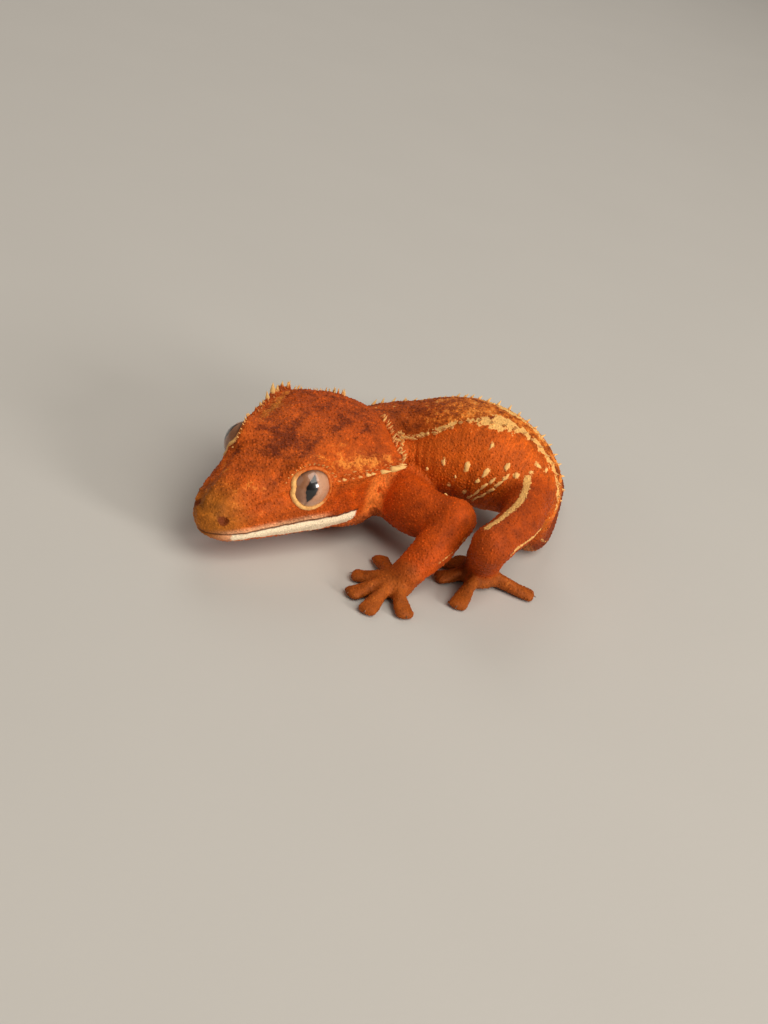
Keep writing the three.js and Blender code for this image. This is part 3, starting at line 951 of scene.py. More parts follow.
@dataclass(frozen=True)
class SkinFinish:
    """Granular skin: orange ground with mottling, streaks, cream and dark marks, with painted shade in the
    seam between the lips, the groin and the nostrils, and granules painted lighter in the middle and darker
    at the edge as painted highlight and shade.
    """

    cream: Rgb = (0.86, 0.47, 0.14)
    pale: Rgb = (0.98, 0.80, 0.55)
    dark: Rgb = (0.150, 0.020, 0.001)
    light: Rgb = (0.85, 0.28, 0.040)
    # painted shade laid along the seam between the lips
    mouth: Rgb = (0.10, 0.022, 0.004)
    grain_mm: float = 0.27

    def material(self) -> bpy.types.Material:
        """Makes the finish.

        Returns:
            The material.
        """
        n = Nodes("gecko_skin")
        at = n.place()
        ground = n.attribute("ground", "Vector")
        flow = n.attribute("flow", "Vector")
        coarse = n.noise(at, 620.0, 3.0, 0.65)
        broad = n.noise(at, 260.0, 2.0, 0.5)
        fine = n.noise(at, 2300.0, 2.0, 0.65)
        streak = n.noise(n.stretch(flow, (2.9, 0.42, 1.0)), 1.0, 3.0, 0.7)
        grain = n.grains(at, 1000.0 / self.grain_mm)
        amount = n.attribute("streak")
        mottle = n.attribute("mottle")
        spread = (coarse - 0.5) * 1.7 + (broad - 0.5) * 1.0 + (fine - 0.5) * 0.6
        colour = n.tone(ground, 1.0 + spread * mottle)
        colour = n.mix(amount, colour, n.tone(colour, 0.20 + 1.6 * streak))
        light = n.attribute("light") + ((coarse - 0.5) * 2.2 + (fine - 0.5) * 1.2) * mottle
        colour = n.mix(light.step(0.35, 0.95) * 0.85, colour, self.light)
        cloud = (0.5 - coarse) * 1.9 + (0.5 - fine) * 0.9 + (broad - 0.5) * 0.8
        # the dark measure holds the dark marks and also the painted shade of the groin and the nostrils
        dark = n.attribute("dark") + cloud * mottle
        colour = n.mix(dark.step(0.25, 1.0) * 0.85, colour, self.dark)
        cream = n.attribute("cream") + (fine - 0.5) * 0.9 + (coarse - 0.5) * n.attribute("blotch")
        cream = cream.step(0.42, 0.62)
        colour = n.mix(cream, colour, n.mix(n.attribute("pale"), self.cream, self.pale))
        # painted shade: the seam between the lips is coloured dark, besides its groove in the bump
        line = 1.0 - n.attribute("mouth").math("ABSOLUTE").step(0.05, 0.24)
        colour = n.mix(line * 0.85, colour, self.mouth)
        # each granule is painted lighter in its middle and darker at its edge: painted highlight on the
        # granules and painted shade between them, times the tint
        colour = n.tone(colour, n.attribute("tint") * (1.12 - 0.34 * grain))
        height = (1.0 - grain) * 0.8 + fine * 0.3 + streak * amount * 0.8 - line * 1.6
        return n.surface(
            Base_Color=colour,
            Roughness=0.52 + 0.2 * grain + 0.05 * cream,
            Specular_IOR_Level=0.16,
            Normal=n.bump(height, 0.7, 0.00013),
        )


@dataclass(frozen=True)
class SpineFinish:
    """Soft spines: the skin's orange at the root, cream at the tip."""

    root: Rgb = (0.58, 0.100, 0.005)
    tip: Rgb = (0.90, 0.52, 0.17)

    def material(self) -> bpy.types.Material:
        """Makes the finish.

        Returns:
            The material.
        """
        n = Nodes("gecko_spines")
        fine = n.noise(n.place(), 2200.0)
        share = n.attribute("tip") * 0.70 + n.attribute("cream") * 1.05 + (fine - 0.5) * 0.5
        colour = n.mix(share.step(0.45, 1.15), self.root, self.tip)
        return n.surface(
            Base_Color=n.tone(colour, 0.80 + 0.34 * fine),
            Roughness=0.55 + 0.14 * fine,
            Specular_IOR_Level=0.2,
            Normal=n.bump(fine, 0.25, 0.00006),
        )


@dataclass(frozen=True)
class EyeFinish:
    """A lidless eye: pinkish silver iris with fine veins, an upright slit with a notched edge, a dark rim
    that is partly a pigment line by the lids and partly painted shade under them.
    """

    silver: Rgb = (0.56, 0.29, 0.17)
    shade: Rgb = (0.28, 0.115, 0.050)
    vein: Rgb = (0.20, 0.075, 0.035)
    # dark ring at the lids' edge: partly pigment, partly painted shade
    rim: Rgb = (0.030, 0.012, 0.006)
    slit_high: float = 0.62
    slit_wide: float = 0.25

    def material(self) -> bpy.types.Material:
        """Makes the finish.

        Returns:
            The material.
        """
        n = Nodes("gecko_eye")
        # look: x ahead along the face, y up the slit, z out of the pupil, over the eyeball's radius
        look = n.attribute("look", "Vector")
        ahead = n.node("ShaderNodeSeparateXYZ", {}, {"Vector": look}, "X")
        up = n.node("ShaderNodeSeparateXYZ", {}, {"Vector": look}, "Y")
        veins = n.noise(n.stretch(look, (6.0, 2.6, 2.6)), 3.0, 4.0, 0.75)
        cloud = n.noise(look, 2.4, 3.0)
        colour = n.mix((cloud * 0.7 - ahead * 0.85 + 0.22).step(0.15, 0.9), self.shade, self.silver)
        colour = n.mix(veins.step(0.50, 0.74) * 0.6, colour, self.vein)
        # the dark ring by the lids: partly a pigment line, partly painted shade under the lids' edge
        rim = n.attribute("rim").step(0.80, 0.925)
        colour = n.mix(rim, colour, self.rim)
        notch = (up * 26.0).math("SINE") * 0.012 + (veins - 0.5) * 0.03
        half = (1.0 - (up / self.slit_high).math("ABSOLUTE") ** 1.5).math("MAXIMUM", 0.0) * self.slit_wide
        reach = half + notch * (half * 6.0).math("MINIMUM", 1.0) - ahead.math("ABSOLUTE")
        colour = n.mix((reach + 0.06).step(-0.03, 0.05) * 0.65, colour, self.vein)
        slit = reach.step(-0.010, 0.014)
        colour = n.mix(slit, colour, (0.002, 0.0015, 0.0015))
        return n.surface(
            Base_Color=colour,
            Roughness=0.35,
            Specular_IOR_Level=0.3,
            Coat_Weight=1.0,
            Coat_Roughness=0.04,
        )


@dataclass(frozen=True)
class ClawFinish:
    """Small horn claws, dark amber with a paler root."""

    horn: Rgb = (0.10, 0.035, 0.012)
    root: Rgb = (0.42, 0.16, 0.05)

    def material(self) -> bpy.types.Material:
        """Makes the finish.

        Returns:
            The material.
        """
        n = Nodes("gecko_claws")
        streak = n.noise(n.place(), 3000.0)
        up = n.attribute("tip") + (streak - 0.5) * 0.3
        return n.surface(
            Base_Color=n.mix(up.step(0.1, 0.8), self.root, self.horn),
            Roughness=0.3 + 0.1 * streak,
            Specular_IOR_Level=0.5,
        )


@dataclass(frozen=True)
class FloorFinish:
    """A plain pale floor with a faint paper grain."""

    colour: Rgb = (0.56, 0.54, 0.50)

    def material(self) -> bpy.types.Material:
        """Makes the finish.

        Returns:
            The material.
        """
        n = Nodes("pale_floor")
        cloud = n.noise(n.place(), 30.0, 3.0)
        fine = n.noise(n.place(), 900.0, 2.0)
        return n.surface(
            Base_Color=n.mix(cloud, self.colour, tuple(c * 0.96 for c in self.colour)),
            Roughness=0.7 + 0.1 * fine,
            Specular_IOR_Level=0.2,
            Normal=n.bump(fine, 0.06, 0.0002),
        )


@dataclass
class Mark:
    """A soft mark on the head: its place and reach in the head's frame, on both sides."""

    at: tuple[float, float, float]
    reach: tuple[float, float, float]
    strength: float = 1.0

    def over(self, places: Array) -> Array:
        """Gives its strength at places in the head's frame."""
        away = (np.column_stack([places[:, 0], np.abs(places[:, 1]), places[:, 2]]) - self.at) / self.reach
        return self.strength * np.exp(-(away**2).sum(1))


@dataclass
class Stripe:
    """A pale line along a tube: key numbers, degrees from its top at both ends, half width."""

    tube: str
    start: float
    end: float
    angles: tuple[float, float]
    half: float

    def points(self, tubes: dict[str, Tube], count: int = 40) -> tuple[Array, Array, Array]:
        """Gives places on the line, with outward and lengthways directions.

        Args:
            tubes: The tubes by name.
            count: How many points.

        Returns:
            The places and both directions.
        """
        share = np.linspace(0, 1, count)
        keys = self.start + (self.end - self.start) * share
        return tubes[self.tube].surface(keys, self.angles[0] + (self.angles[1] - self.angles[0]) * share)


@dataclass
class Fleck:
    """A pale raised fleck on the flank: key number, degrees from the top, length, width, lean in degrees."""

    key: float
    angle: float
    long: float
    wide: float
    lean: float = 0.0

    def frame(self, skin: "GeckoSkin", side: Side) -> tuple[Array, Array, Array, Array]:
        """Gives its middle, the way along it, the way across it and the way out.

        Args:
            skin: The skin that it lies on.
            side: The side of the gecko.

        Returns:
            Its middle and the three directions.
        """
        at, out, way = skin.body.tube.spot(self.key, self.angle * side.value)
        down = unit(np.cross(way, out)) * side.value
        a = math.radians(self.lean)
        return at, down * math.cos(a) - way * math.sin(a), way * math.cos(a) + down * math.sin(a), out

    def axes(self, skin: "GeckoSkin", points: Array) -> tuple[Array, Array]:
        """Gives how far points lie along and across it, on the nearer side of the body.

        Args:
            skin: The skin that it lies on.
            points: Places in the layout, in millimetres.

        Returns:
            The distances along it and across it.
        """
        best = None
        for side in Side:
            at, long_, wide_, out = self.frame(skin, side)
            away = points - at
            far = np.abs(away @ out) > 2.5
            one, two = np.where(far, 99.0, away @ long_), np.where(far, 99.0, away @ wide_)
            if best is None:
                best = (one, two)
            else:
                nearer = np.hypot(one, two) < np.hypot(*best)
                best = (np.where(nearer, one, best[0]), np.where(nearer, two, best[1]))
        return best


DARK_MARKS = (
    Mark((-2.2, 1.0, 4.0), (3.2, 2.8, 2.5), 0.95),
    Mark((-6.3, 1.8, 4.4), (1.2, 1.2, 2.0), 0.6),
    Mark((2.2, 0.6, 3.0), (2.2, 1.8, 2.0), 0.5),
    Mark((-9.8, 2.6, 4.6), (3.2, 1.0, 2.0), 0.55),
    Mark((-13.2, 1.2, 5.0), (2.2, 3.0, 2.0), 0.55),
    Mark((-12.6, 5.6, 4.2), (2.6, 0.8, 2.0), 0.5),
    Mark((-16.2, 3.4, 4.8), (1.4, 3.6, 2.0), 0.6),
    Mark((-3.4, 3.3, 4.2), (1.7, 0.7, 1.5), 0.5),
    Mark((3.2, 4.2, 1.6), (2.4, 1.1, 1.4), 0.62),
    Mark((-1.0, 4.0, 4.2), (1.0, 0.6, 1.0), 0.5),
)
LIGHT_MARKS = (
    Mark((-1.6, 5.1, 4.2), (1.5, 0.7, 1.2), 0.4),
    Mark((-3.0, 6.0, 3.8), (1.1, 0.9, 1.0), 0.45),
    Mark((-5.2, 7.2, 3.0), (1.6, 1.0, 1.2), 0.6),
    Mark((-7.2, 8.3, 2.6), (1.6, 1.1, 1.2), 0.6),
    Mark((-9.2, 9.0, 2.6), (1.7, 1.3, 1.2), 0.6),
    Mark((-11.5, 9.6, 2.7), (1.6, 1.4, 1.2), 0.58),
    Mark((-13.6, 10.2, 2.5), (1.4, 1.4, 1.2), 0.55),
    Mark((-7.8, 5.8, 4.0), (1.8, 1.2, 1.2), 0.4),
    Mark((-9.3, 7.8, 3.4), (1.6, 1.6, 1.5), 0.3),
    Mark((7.5, 2.4, 0.6), (1.4, 1.0, 1.0), 0.5),
    Mark((9.8, 0.9, 0.0), (1.2, 1.2, 1.0), 0.45),
    Mark((5.4, 3.8, 0.4), (1.2, 1.0, 1.0), 0.4),
    Mark((10.3, 2.7, -1.8), (1.2, 0.9, 1.0), 0.45),
    Mark((5.0, 6.2, -3.0), (2.2, 1.0, 1.2), 0.35),
)
FLECKS = (
    Fleck(4.03, 78, 1.1, 0.6),
    Fleck(4.70, 78, 1.6, 0.85),
    Fleck(4.28, 104, 0.8, 0.7),
    Fleck(4.80, 111, 1.0, 0.7, 20),
    Fleck(5.15, 78, 1.8, 0.8, 10),
    Fleck(5.05, 90, 0.9, 0.6, 20),
    Fleck(5.53, 62, 1.4, 0.75),
    Fleck(5.86, 64, 1.0, 0.8, -10),
    Fleck(6.15, 37, 1.1, 0.6, 70),
    Fleck(6.40, 31, 1.1, 0.6),
    Fleck(5.03, 49, 0.9, 0.45),
    Fleck(5.66, 73, 1.5, 0.55, 15),
    Fleck(5.60, 84, 1.7, 0.5, 18),
    Fleck(5.52, 96, 1.9, 0.5, 20),
    Fleck(5.40, 108, 1.9, 0.45, 20),
    Fleck(5.40, 84, 1.5, 0.5, 15),
    Fleck(5.28, 95, 1.8, 0.5, 18),
    Fleck(5.18, 106, 1.8, 0.45, 20),
    Fleck(5.04, 116, 1.6, 0.45, 20),
    Fleck(5.26, 116, 1.7, 0.4, 20),
    Fleck(3.55, 88, 0.6, 0.4),
    Fleck(4.45, 92, 0.6, 0.35),
    Fleck(6.10, 50, 0.8, 0.5, 20),
)
STRIPES = (
    Stripe("left_leg.upper", 0.1, 2.0, (12.0, 26.0), 0.58),
    Stripe("right_leg.upper", 0.1, 2.0, (-12.0, -26.0), 0.58),
    Stripe("left_leg.upper", 0.7, 1.9, (-100.0, -95.0), 0.28),
    Stripe("right_leg.upper", 0.7, 1.9, (100.0, 95.0), 0.28),
    Stripe("left_arm.lower", 0.1, 1.3, (-95.0, -80.0), 0.12),
    Stripe("right_arm.lower", 0.1, 1.3, (95.0, 80.0), 0.12),
    Stripe("tail", 9.2, 14.5, (95.0, 90.0), 0.16),
    Stripe("tail", 9.2, 14.5, (-95.0, -90.0), 0.10),
)


@dataclass
class GeckoSkin:
    """One skin over head, body, limbs, hands and feet."""

    head: HeadForm
    body: BodyForm
    limbs: list[LimbForm]
    place: Place
    voxel: float = 0.34
    band: float = 3.4
    low: tuple[float, float, float] = (-10.5, -17.6, -0.7)
    high: tuple[float, float, float] = (51.0, 56.4, 22.6)
    # share of a toe's length, height, half width and half height
    toe_sizes: Rows = (
        (0.10, 1.50, 1.20, 1.20),
        (0.42, 1.35, 0.98, 1.10),
        (0.66, 0.92, 1.28, 0.82),
        (0.88, 0.68, 1.46, 0.66),
    )
    # named colours of the ground, as they lie on the gecko
    flank: Rgb = (0.56, 0.094, 0.004)
    back: Rgb = (0.57, 0.125, 0.008)
    nape: Rgb = (0.42, 0.068, 0.003)
    # painted light: the neck colour is far brighter than the flank's, standing in for light falling on the
    # sides of the neck and under the back of the head's crest
    neck: Rgb = (0.95, 0.24, 0.035)
    thigh: Rgb = (0.40, 0.056, 0.002)
    arm: Rgb = (0.50, 0.068, 0.002)
    palm: Rgb = (0.33, 0.078, 0.008)
    tail: Rgb = (0.22, 0.032, 0.003)
    under: Rgb = (0.62, 0.20, 0.050)
    face: Rgb = (0.52, 0.088, 0.006)
    cheek: Rgb = (0.46, 0.060, 0.001)
    snout: Rgb = (0.41, 0.122, 0.010)
    crown: Rgb = (0.47, 0.072, 0.004)
    upper_lip: Rgb = (0.84, 0.40, 0.20)
    throat: Rgb = (0.62, 0.13, 0.022)

    def __post_init__(self) -> None:
        """Names the tubes that stripes run along, and makes the finish."""
        self.tubes = {"tail": self.body.tube}
        for limb in self.limbs:
            self.tubes[f"{limb.name}.upper"] = Tube(limb.upper)
            self.tubes[f"{limb.name}.lower"] = Tube(limb.lower)
        self.finish = SkinFinish().material()

    def capsule(self, rows: Rows, sides: int = 28) -> Shell:
        """Makes a rounded tube of a limb."""
        return Tube(rows, sides=sides, steps_per_key=8).shell()

    def toe_rows(self, limb: LimbForm, degrees: float, length: float) -> list[tuple[float, ...]]:
        """Gives the rows of one toe, slim at the root and widening to its pad.

        Args:
            limb: Its limb.
            degrees: Its direction on the floor.
            length: From the palm's centre to its tip.

        Returns:
            The rows.
        """
        a = math.radians(degrees)
        x, y = limb.palm
        return [
            (x + math.cos(a) * length * s, y + math.sin(a) * length * s, z, wide, high)
            for s, z, wide, high in self.toe_sizes
        ]

    def orbit(self, grid: Field, where: Array, side: Side) -> Array:
        """Gives the distances to the dome of one eye, with the ring of its lid.

        Args:
            grid: The grid that the skin is taken from.
            where: The places of its corners.
            side: The side of the gecko.

        Returns:
            The distances.
        """
        centre = self.head.out(self.head.eye_centre(side))
        way = self.head.turn @ self.head.eye_way(side)
        away = where - centre
        depth = away @ way
        dome = np.maximum(np.linalg.norm(away, axis=-1) - 4.15, depth - 1.15)
        across = np.sqrt(np.maximum((away**2).sum(-1) - depth**2, 0))
        ring = np.hypot(across - 3.5, depth - 0.95) - 0.3
        return np.clip(smooth_min(dome, ring, 0.5), -grid.band, grid.band).astype(np.float32)

    def opening(self, grid: Field, total: Array, side: Side, count: int = 120) -> Array:
        """Finds the edge where an eyeball comes out of the skin, in the head's frame.

        Args:
            grid: The grid that the skin is taken from.
            total: The distances to all forms.
            side: The side of the gecko.
            count: How many points.

        Returns:
            The points of the edge.
        """
        centre, way = self.head.eye_centre(side), self.head.eye_way(side)
        ahead, up = upright(way)
        turn = circle(count)
        out = np.outer(np.cos(turn), ahead) + np.outer(np.sin(turn), up)
        lift = np.linspace(0.45, 1.6, 116)
        ball = way[None, None] * np.cos(lift)[None, :, None] + out[:, None] * np.sin(lift)[None, :, None]
        at = self.head.out((centre + ball * self.head.eye_radius).reshape(-1, 3))
        inside = sample(grid, total, at).reshape(count, -1) < 0.0
        edge = np.where(inside.any(1), lift[inside.argmax(1)], lift[-1])
        for _ in range(12):
            edge = (np.roll(edge, 1) + edge * 2 + np.roll(edge, -1)) / 4
        reach = self.head.eye_radius + 0.06
        return centre + (way * np.cos(edge)[:, None] + out * np.sin(edge)[:, None]) * reach

    def head_distances(self, grid: Field, where: Array) -> Array:
        """Gives the distances to the head, with the domes of the eyes and the throat.

        Args:
            grid: The grid that the skin is taken from.
            where: The places of its corners.

        Returns:
            The distances.
        """
        head = grid.distances(self.head.shell())
        for side in Side:
            head = smooth_min(head, self.orbit(grid, where, side), 1.0)
            at = self.head.out(self.head.beside(self.head.throat, side))
            throat = grid.distances(Shell.ball(at, self.head.throat_radii, self.head.turn))
            head = smooth_min(head, throat, 1.2)
        return head

    def trunk_distances(self, grid: Field) -> Array:
        """Gives the distances to neck, trunk and tail.

        Args:
            grid: The grid that the skin is taken from.

        Returns:
            The distances.
        """
        end = self.body.rows[-1]
        tip = grid.distances(Shell.ball(end[:3], (0.85, 0.75, 0.7)))
        return smooth_min(grid.distances(self.body.tube.shell()), tip, 0.4)

    def limb_distances(self, grid: Field, limb: LimbForm) -> tuple[Array, Array]:
        """Gives the distances to a limb and to its hand or foot.

        Args:
            grid: The grid that the skin is taken from.
            limb: The limb.

        Returns:
            The distances to the whole limb, and to the hand or foot alone.
        """
        upper, lower = grid.distances(self.capsule(limb.upper)), grid.distances(self.capsule(limb.lower))
        arm = smooth_min(upper, lower, 1.2)
        x, y = limb.palm
        palm = Shell.ball((x, y, 1.35), (limb.palm_half, limb.palm_half, limb.palm_high))
        heel = self.capsule(((*limb.lower[-1][:3], 2.2, 1.9), (x, y, 1.6, 2.6, 1.5)))
        pad = smooth_min(grid.distances(palm), grid.distances(heel), 0.8)
        for degrees, length in limb.toes:
            toe = self.capsule(self.toe_rows(limb, degrees, length), 20)
            pad = smooth_min(pad, grid.distances(toe), 0.55)
        return smooth_min(arm, pad, 1.0), pad

    def hollows(self, grid: Field, where: Array, total: Array) -> Array:
        """Takes the eye sockets, nostrils and ear openings out of the skin.

        Args:
            grid: The grid that the skin is taken from.
            where: The places of its corners.
            total: The distances to all forms.

        Returns:
            The distances with the hollows taken out.
        """
        for side in Side:
            away = np.linalg.norm(where - self.head.out(self.head.eye_centre(side)), axis=-1)
            socket = (away - self.head.eye_radius + 0.04).astype(np.float32)
            total = -smooth_min(-total, socket, 0.12)
        pits = ((self.head.nostril, self.head.nostril_radii), (self.head.ear, self.head.ear_radii))
        for side in Side:
            for at, radii in pits:
                place = self.head.out(self.head.beside(at, side))
                total = -smooth_min(-total, grid.distances(Shell.ball(place, radii, self.head.turn)), 0.25)
        return total

    def build(self) -> None:
        """Joins all forms into one field and takes the skin from it."""
        grid = Field(self.low, self.high, self.voxel, self.band)
        axes = [grid.origin[k] + grid.voxel * np.arange(grid.shape[k]) for k in range(3)]
        where = np.stack(np.meshgrid(*axes, indexing="ij"), -1).astype(np.float32)
        head, trunk = self.head_distances(grid, where), self.trunk_distances(grid)
        total = smooth_min(head, trunk, 2.4)
        limbs, hands = (np.full(grid.shape, self.band, np.float32) for _ in range(2))
        for limb in self.limbs:
            arm, pad = self.limb_distances(grid, limb)
            limbs, hands = np.minimum(limbs, arm), np.minimum(hands, pad)
            root = np.linalg.norm(where - np.array(limb.upper[0][:3], np.float32), axis=-1)
            total = smooth_min(total, arm, 0.4 + 2.6 * np.exp(-((root / 6.5) ** 2)))
        self.openings = {side: self.opening(grid, total, side) for side in Side}
        grid.values = self.hollows(grid, where, total).astype(np.float32)
        grid.floor()
        points, self.quads = grid.mesh()
        self.points = relax(points, self.quads, 2)
        fields = {"head": head, "trunk": trunk, "limbs": limbs, "hands": hands}
        self.parts = {name: sample(grid, values, self.points) for name, values in fields.items()}

    def dress(self) -> bpy.types.Object:
        """Shapes the fine relief, adds the measures that the finish reads and makes the object.

        Returns:
            The piece.
        """
        points, quads = self.points, self.quads
        if fold_volume(points, quads) < 0:
            quads = quads[:, ::-1]
        normals = point_normals(points, quads)
        part = self.parts
        on_head = ease(part["trunk"] - part["head"], -1.0, 1.0) * ease(part["head"], 1.8, 0.7)
        on_limb = ease(np.minimum(part["trunk"], part["head"]) - part["limbs"], -0.8, 1.2)
        on_hand = ease(part["limbs"] - part["hands"] + 0.4, -0.4, 0.6) * on_limb
        key, angle, around = self.unroll(points)
        head_at = self.head.into(points)
        x, y, z = head_at.T
        lip_up = z - along(self.head.mouth, x, 1)
        in_mouth = on_head * ease(x, -9.8, -8.8) * (part["head"] < 1.0)
        relief = self.relief(points, key, angle, on_head, on_limb, on_hand)
        lips = 0.30 * bell(lip_up + 0.9, 0.75) + 0.12 * bell(lip_up - 0.7, 0.6)
        relief += in_mouth * ease(x, 13.2, 9.0) * lips
        relief -= in_mouth * 0.16 * bell(lip_up, 0.3)
        points = points + normals * relief[:, None]
        points[:, 2] = np.maximum(points[:, 2], 0.0)
        self.points, self.quads, self.normals = points, quads, point_normals(points, quads)
        top = ease(np.abs(angle), 50, 30)
        measures = {
            "ground": self.ground(head_at, lip_up, key, angle, on_head, on_limb, on_hand),
            "flow": np.column_stack([self.length(key), around, np.zeros(len(points))]),
            "streak": self.streaks(key, angle, on_head, on_limb),
            "mottle": 0.42 + 0.5 * on_head + 0.3 * on_limb + 0.75 * top * (1 - on_head),
            "mouth": np.where(in_mouth > 0.5, lip_up, 2.0),
            "pale": on_head * ease(z, 0.0, -2.0),
            "tint": np.ones(len(points)),
            "blotch": 0.3 + 2.2 * (1 - on_head) * (1 - on_limb) * ease(np.abs(angle), 60, 45),
        }
        near = (part["head"] < part["trunk"] + 0.5) & (part["head"] < 1.0)
        eye = self.lid_ring(head_at)
        light = sum(mark.over(head_at) for mark in LIGHT_MARKS) * near + 0.9 * bell(eye, 0.55)
        crest = along(self.body.crest_angle, key, 1)
        back = ease(np.abs(angle), crest + 4, crest - 4) * (1 - on_head) * (1 - on_limb) * ease(key, 8.6, 7.4)
        # painted shade: the nostril pits are painted darker, less light and more dark, as shade in the recess
        nostrils = (self.head.beside(self.head.nostril, side) for side in Side)
        nostril = sum(bell(np.linalg.norm(head_at - at, axis=1), 0.6) for at in nostrils)
        light = light + 0.5 * back * ease(key, 2.4, 4.4) + 0.2 * on_hand
        measures["light"] = light - 2 * nostril
        # painted shade: the hollow between flank and thigh is darkened, through the dark measure below
        groin_shade = on_limb * ease(part["trunk"], 0.9, 0.1) * ease(points[:, 0], 30.0, 33.0)
        dark = sum(mark.over(head_at) for mark in DARK_MARKS) * near
        measures["dark"] = dark + 0.36 * back + 0.8 * groin_shade + 3.0 * nostril
        measures["cream"] = self.cream(points, head_at, lip_up, key, angle, on_head, on_limb)
        self.measures = measures
        piece = make_object("gecko_skin", self.place.metres(points), quads)
        for name, values in measures.items():
            store(piece, name, values)
        piece.data.materials.append(self.finish)
        return piece

    def relief(
        self, points: Array, key: Array, angle: Array, head: Array, limb: Array, hand: Array
    ) -> Array:
        """Gives how far the skin stands out: lumps all over, and folds on neck and flank.

        Args:
            points: Places in the layout, in millimetres.
            key: Key numbers along the body.
            angle: Degrees from the top of the body, positive to the left.
            head: Share of the skin that belongs to the head.
            limb: Share of the skin that belongs to the limbs.
            hand: Share of the skin that belongs to hands and feet.

        Returns:
            The heights in millimetres.
        """
        lumps = np.array([noise.noise(Vector(p) * 0.55) for p in points])
        small = np.array([noise.noise(Vector(p) * 1.25 + Vector((7.0, 3.0, 1.0))) for p in points])
        trunk = (1 - head) * (1 - limb)
        run = self.length(key)
        wrinkle = np.sin(run * 4.2 + 1.8 * small + angle * 0.03)
        wrinkle *= ease(key, 4.4, 2.6) * ease(np.abs(angle), 52, 66)
        x, _, z = self.head.into(points).T
        nape = head * ease(x, -10.0, -13.0) * ease(z, 1.0, -0.6)
        folds = np.sin(run * 2.4 + 2.2 * lumps)
        folds *= ease(key, 4.0, 4.8) * ease(key, 8.2, 7.4) * ease(np.abs(angle), 40, 70)
        bulk = 0.13 * head + 0.10 * trunk + 0.10 * limb * (1 - hand) + 0.05 * hand
        creases = 0.14 * np.sin(x * 4.2 + 1.8 * small) * nape
        return lumps * bulk + small * bulk * 0.6 + trunk * (0.15 * wrinkle + 0.10 * folds) + creases

    def length(self, key: Array) -> Array:
        """Gives millimetres along the body at key numbers.

        Args:
            key: Key numbers along the body.

        Returns:
            The lengths.
        """
        keys = np.linspace(0, len(self.body.rows) - 1, 361)
        step = np.linalg.norm(np.diff(self.body.tube.rail.at(keys), axis=0), axis=1)
        return np.interp(key, keys, np.concatenate([[0.0], np.cumsum(step)]))

    def lid_ring(self, head_at: Array) -> Array:
        """Gives the distance to the nearer ring of lids.

        Args:
            head_at: Places in the head's frame.

        Returns:
            The distances.
        """
        rings = []
        for side in Side:
            away = head_at - self.head.eye_centre(side)
            depth = away @ self.head.eye_way(side)
            across = np.sqrt(np.maximum((away**2).sum(1) - depth**2, 0))
            rings.append(np.hypot(across - 3.32, depth - 0.95))
        return np.minimum(*rings)

    def streaks(self, key: Array, angle: Array, head: Array, limb: Array) -> Array:
        """Gives how strongly upright streaks show.

        Args:
            key: Key numbers along the body.
            angle: Degrees from the top of the body, positive to the left.
            head: Share of the skin that belongs to the head.
            limb: Share of the skin that belongs to the limbs.

        Returns:
            The strengths, from 0 to about 1.
        """
        crest = along(self.body.crest_angle, key, 1)
        side = ease(np.abs(angle), crest, crest + 14) * ease(key, 8.4, 7.4)
        shoulder = limb * ease(self.parts["trunk"], 3.0, 0.8) * ease(key, 5.0, 4.0) * 0.8
        x, _, z = self.head.into(self.points).T
        cheek = head * ease(x, -9.0, -12.5) * ease(z, 1.2, -0.6)
        return (side * (1 - head) * (1 - limb) + shoulder + cheek) * 0.85

    def ground(
        self, head_at: Array, lip_up: Array, key: Array, angle: Array, head: Array, limb: Array, hand: Array
    ) -> Array:
        """Gives the ground colour, washed from region to region.

        Args:
            head_at: Places in the head's frame.
            lip_up: Heights over the line between the lips.
            key: Key numbers along the body.
            angle: Degrees from the top of the body, positive to the left.
            head: Share of the skin that belongs to the head.
            limb: Share of the skin that belongs to the limbs.
            hand: Share of the skin that belongs to hands and feet.

        Returns:
            The colours.
        """
        ground = np.tile(np.array(self.flank), (len(key), 1))

        def wash(colour: Rgb, share: Array) -> None:
            """Lays one colour over the others."""
            ground[:] = ground + (np.array(colour) - ground) * np.clip(share, 0, 1)[:, None]

        crest = along(self.body.crest_angle, key, 1)
        wash(self.back, ease(np.abs(angle), crest + 6, crest - 6) * 0.9)
        wash(self.nape, ease(np.abs(angle), crest + 6, crest - 6) * ease(key, 4.4, 3.4) * 0.9)
        # painted light: the sides of the neck take the bright neck colour
        wash(self.neck, ease(key, 3.0, 1.8) * ease(np.abs(angle), 50, 66))
        wash(self.tail, ease(key, 8.3, 9.6))
        wash(self.under, ease(np.abs(angle), 125, 155) * 0.7)
        x = head_at[:, 0]
        lower = self.head.out(head_at)[:, 0]
        wash(self.arm, limb * ease(lower, 32.0, 29.5))
        wash(self.thigh, limb * ease(lower, 29.5, 32.0))
        wash(self.palm, hand)
        for colour, share in (
            (self.face, np.ones(len(key))),
            (self.cheek, ease(x, 0.5, -5.0) * ease(head_at[:, 2], 0.6, -0.8)),
            (self.snout, ease(x, 7.0, 13.0)),
            (self.crown, ease(x, -6.0, -13.0) * ease(head_at[:, 2], 1.0, 3.0)),
            # painted light: the back of the head below the crest takes the bright neck colour
            (self.neck, ease(x, -9.5, -12.0) * ease(head_at[:, 2], 1.2, -0.4)),
            (self.upper_lip, ease(lip_up, 1.35, 0.5) * ease(x, 13.6, 10.5) * ease(x, -4.5, -1.5)),
            (self.throat, ease(lip_up, -0.5, -1.8)),
        ):
            wash(colour, share * head)
        return ground

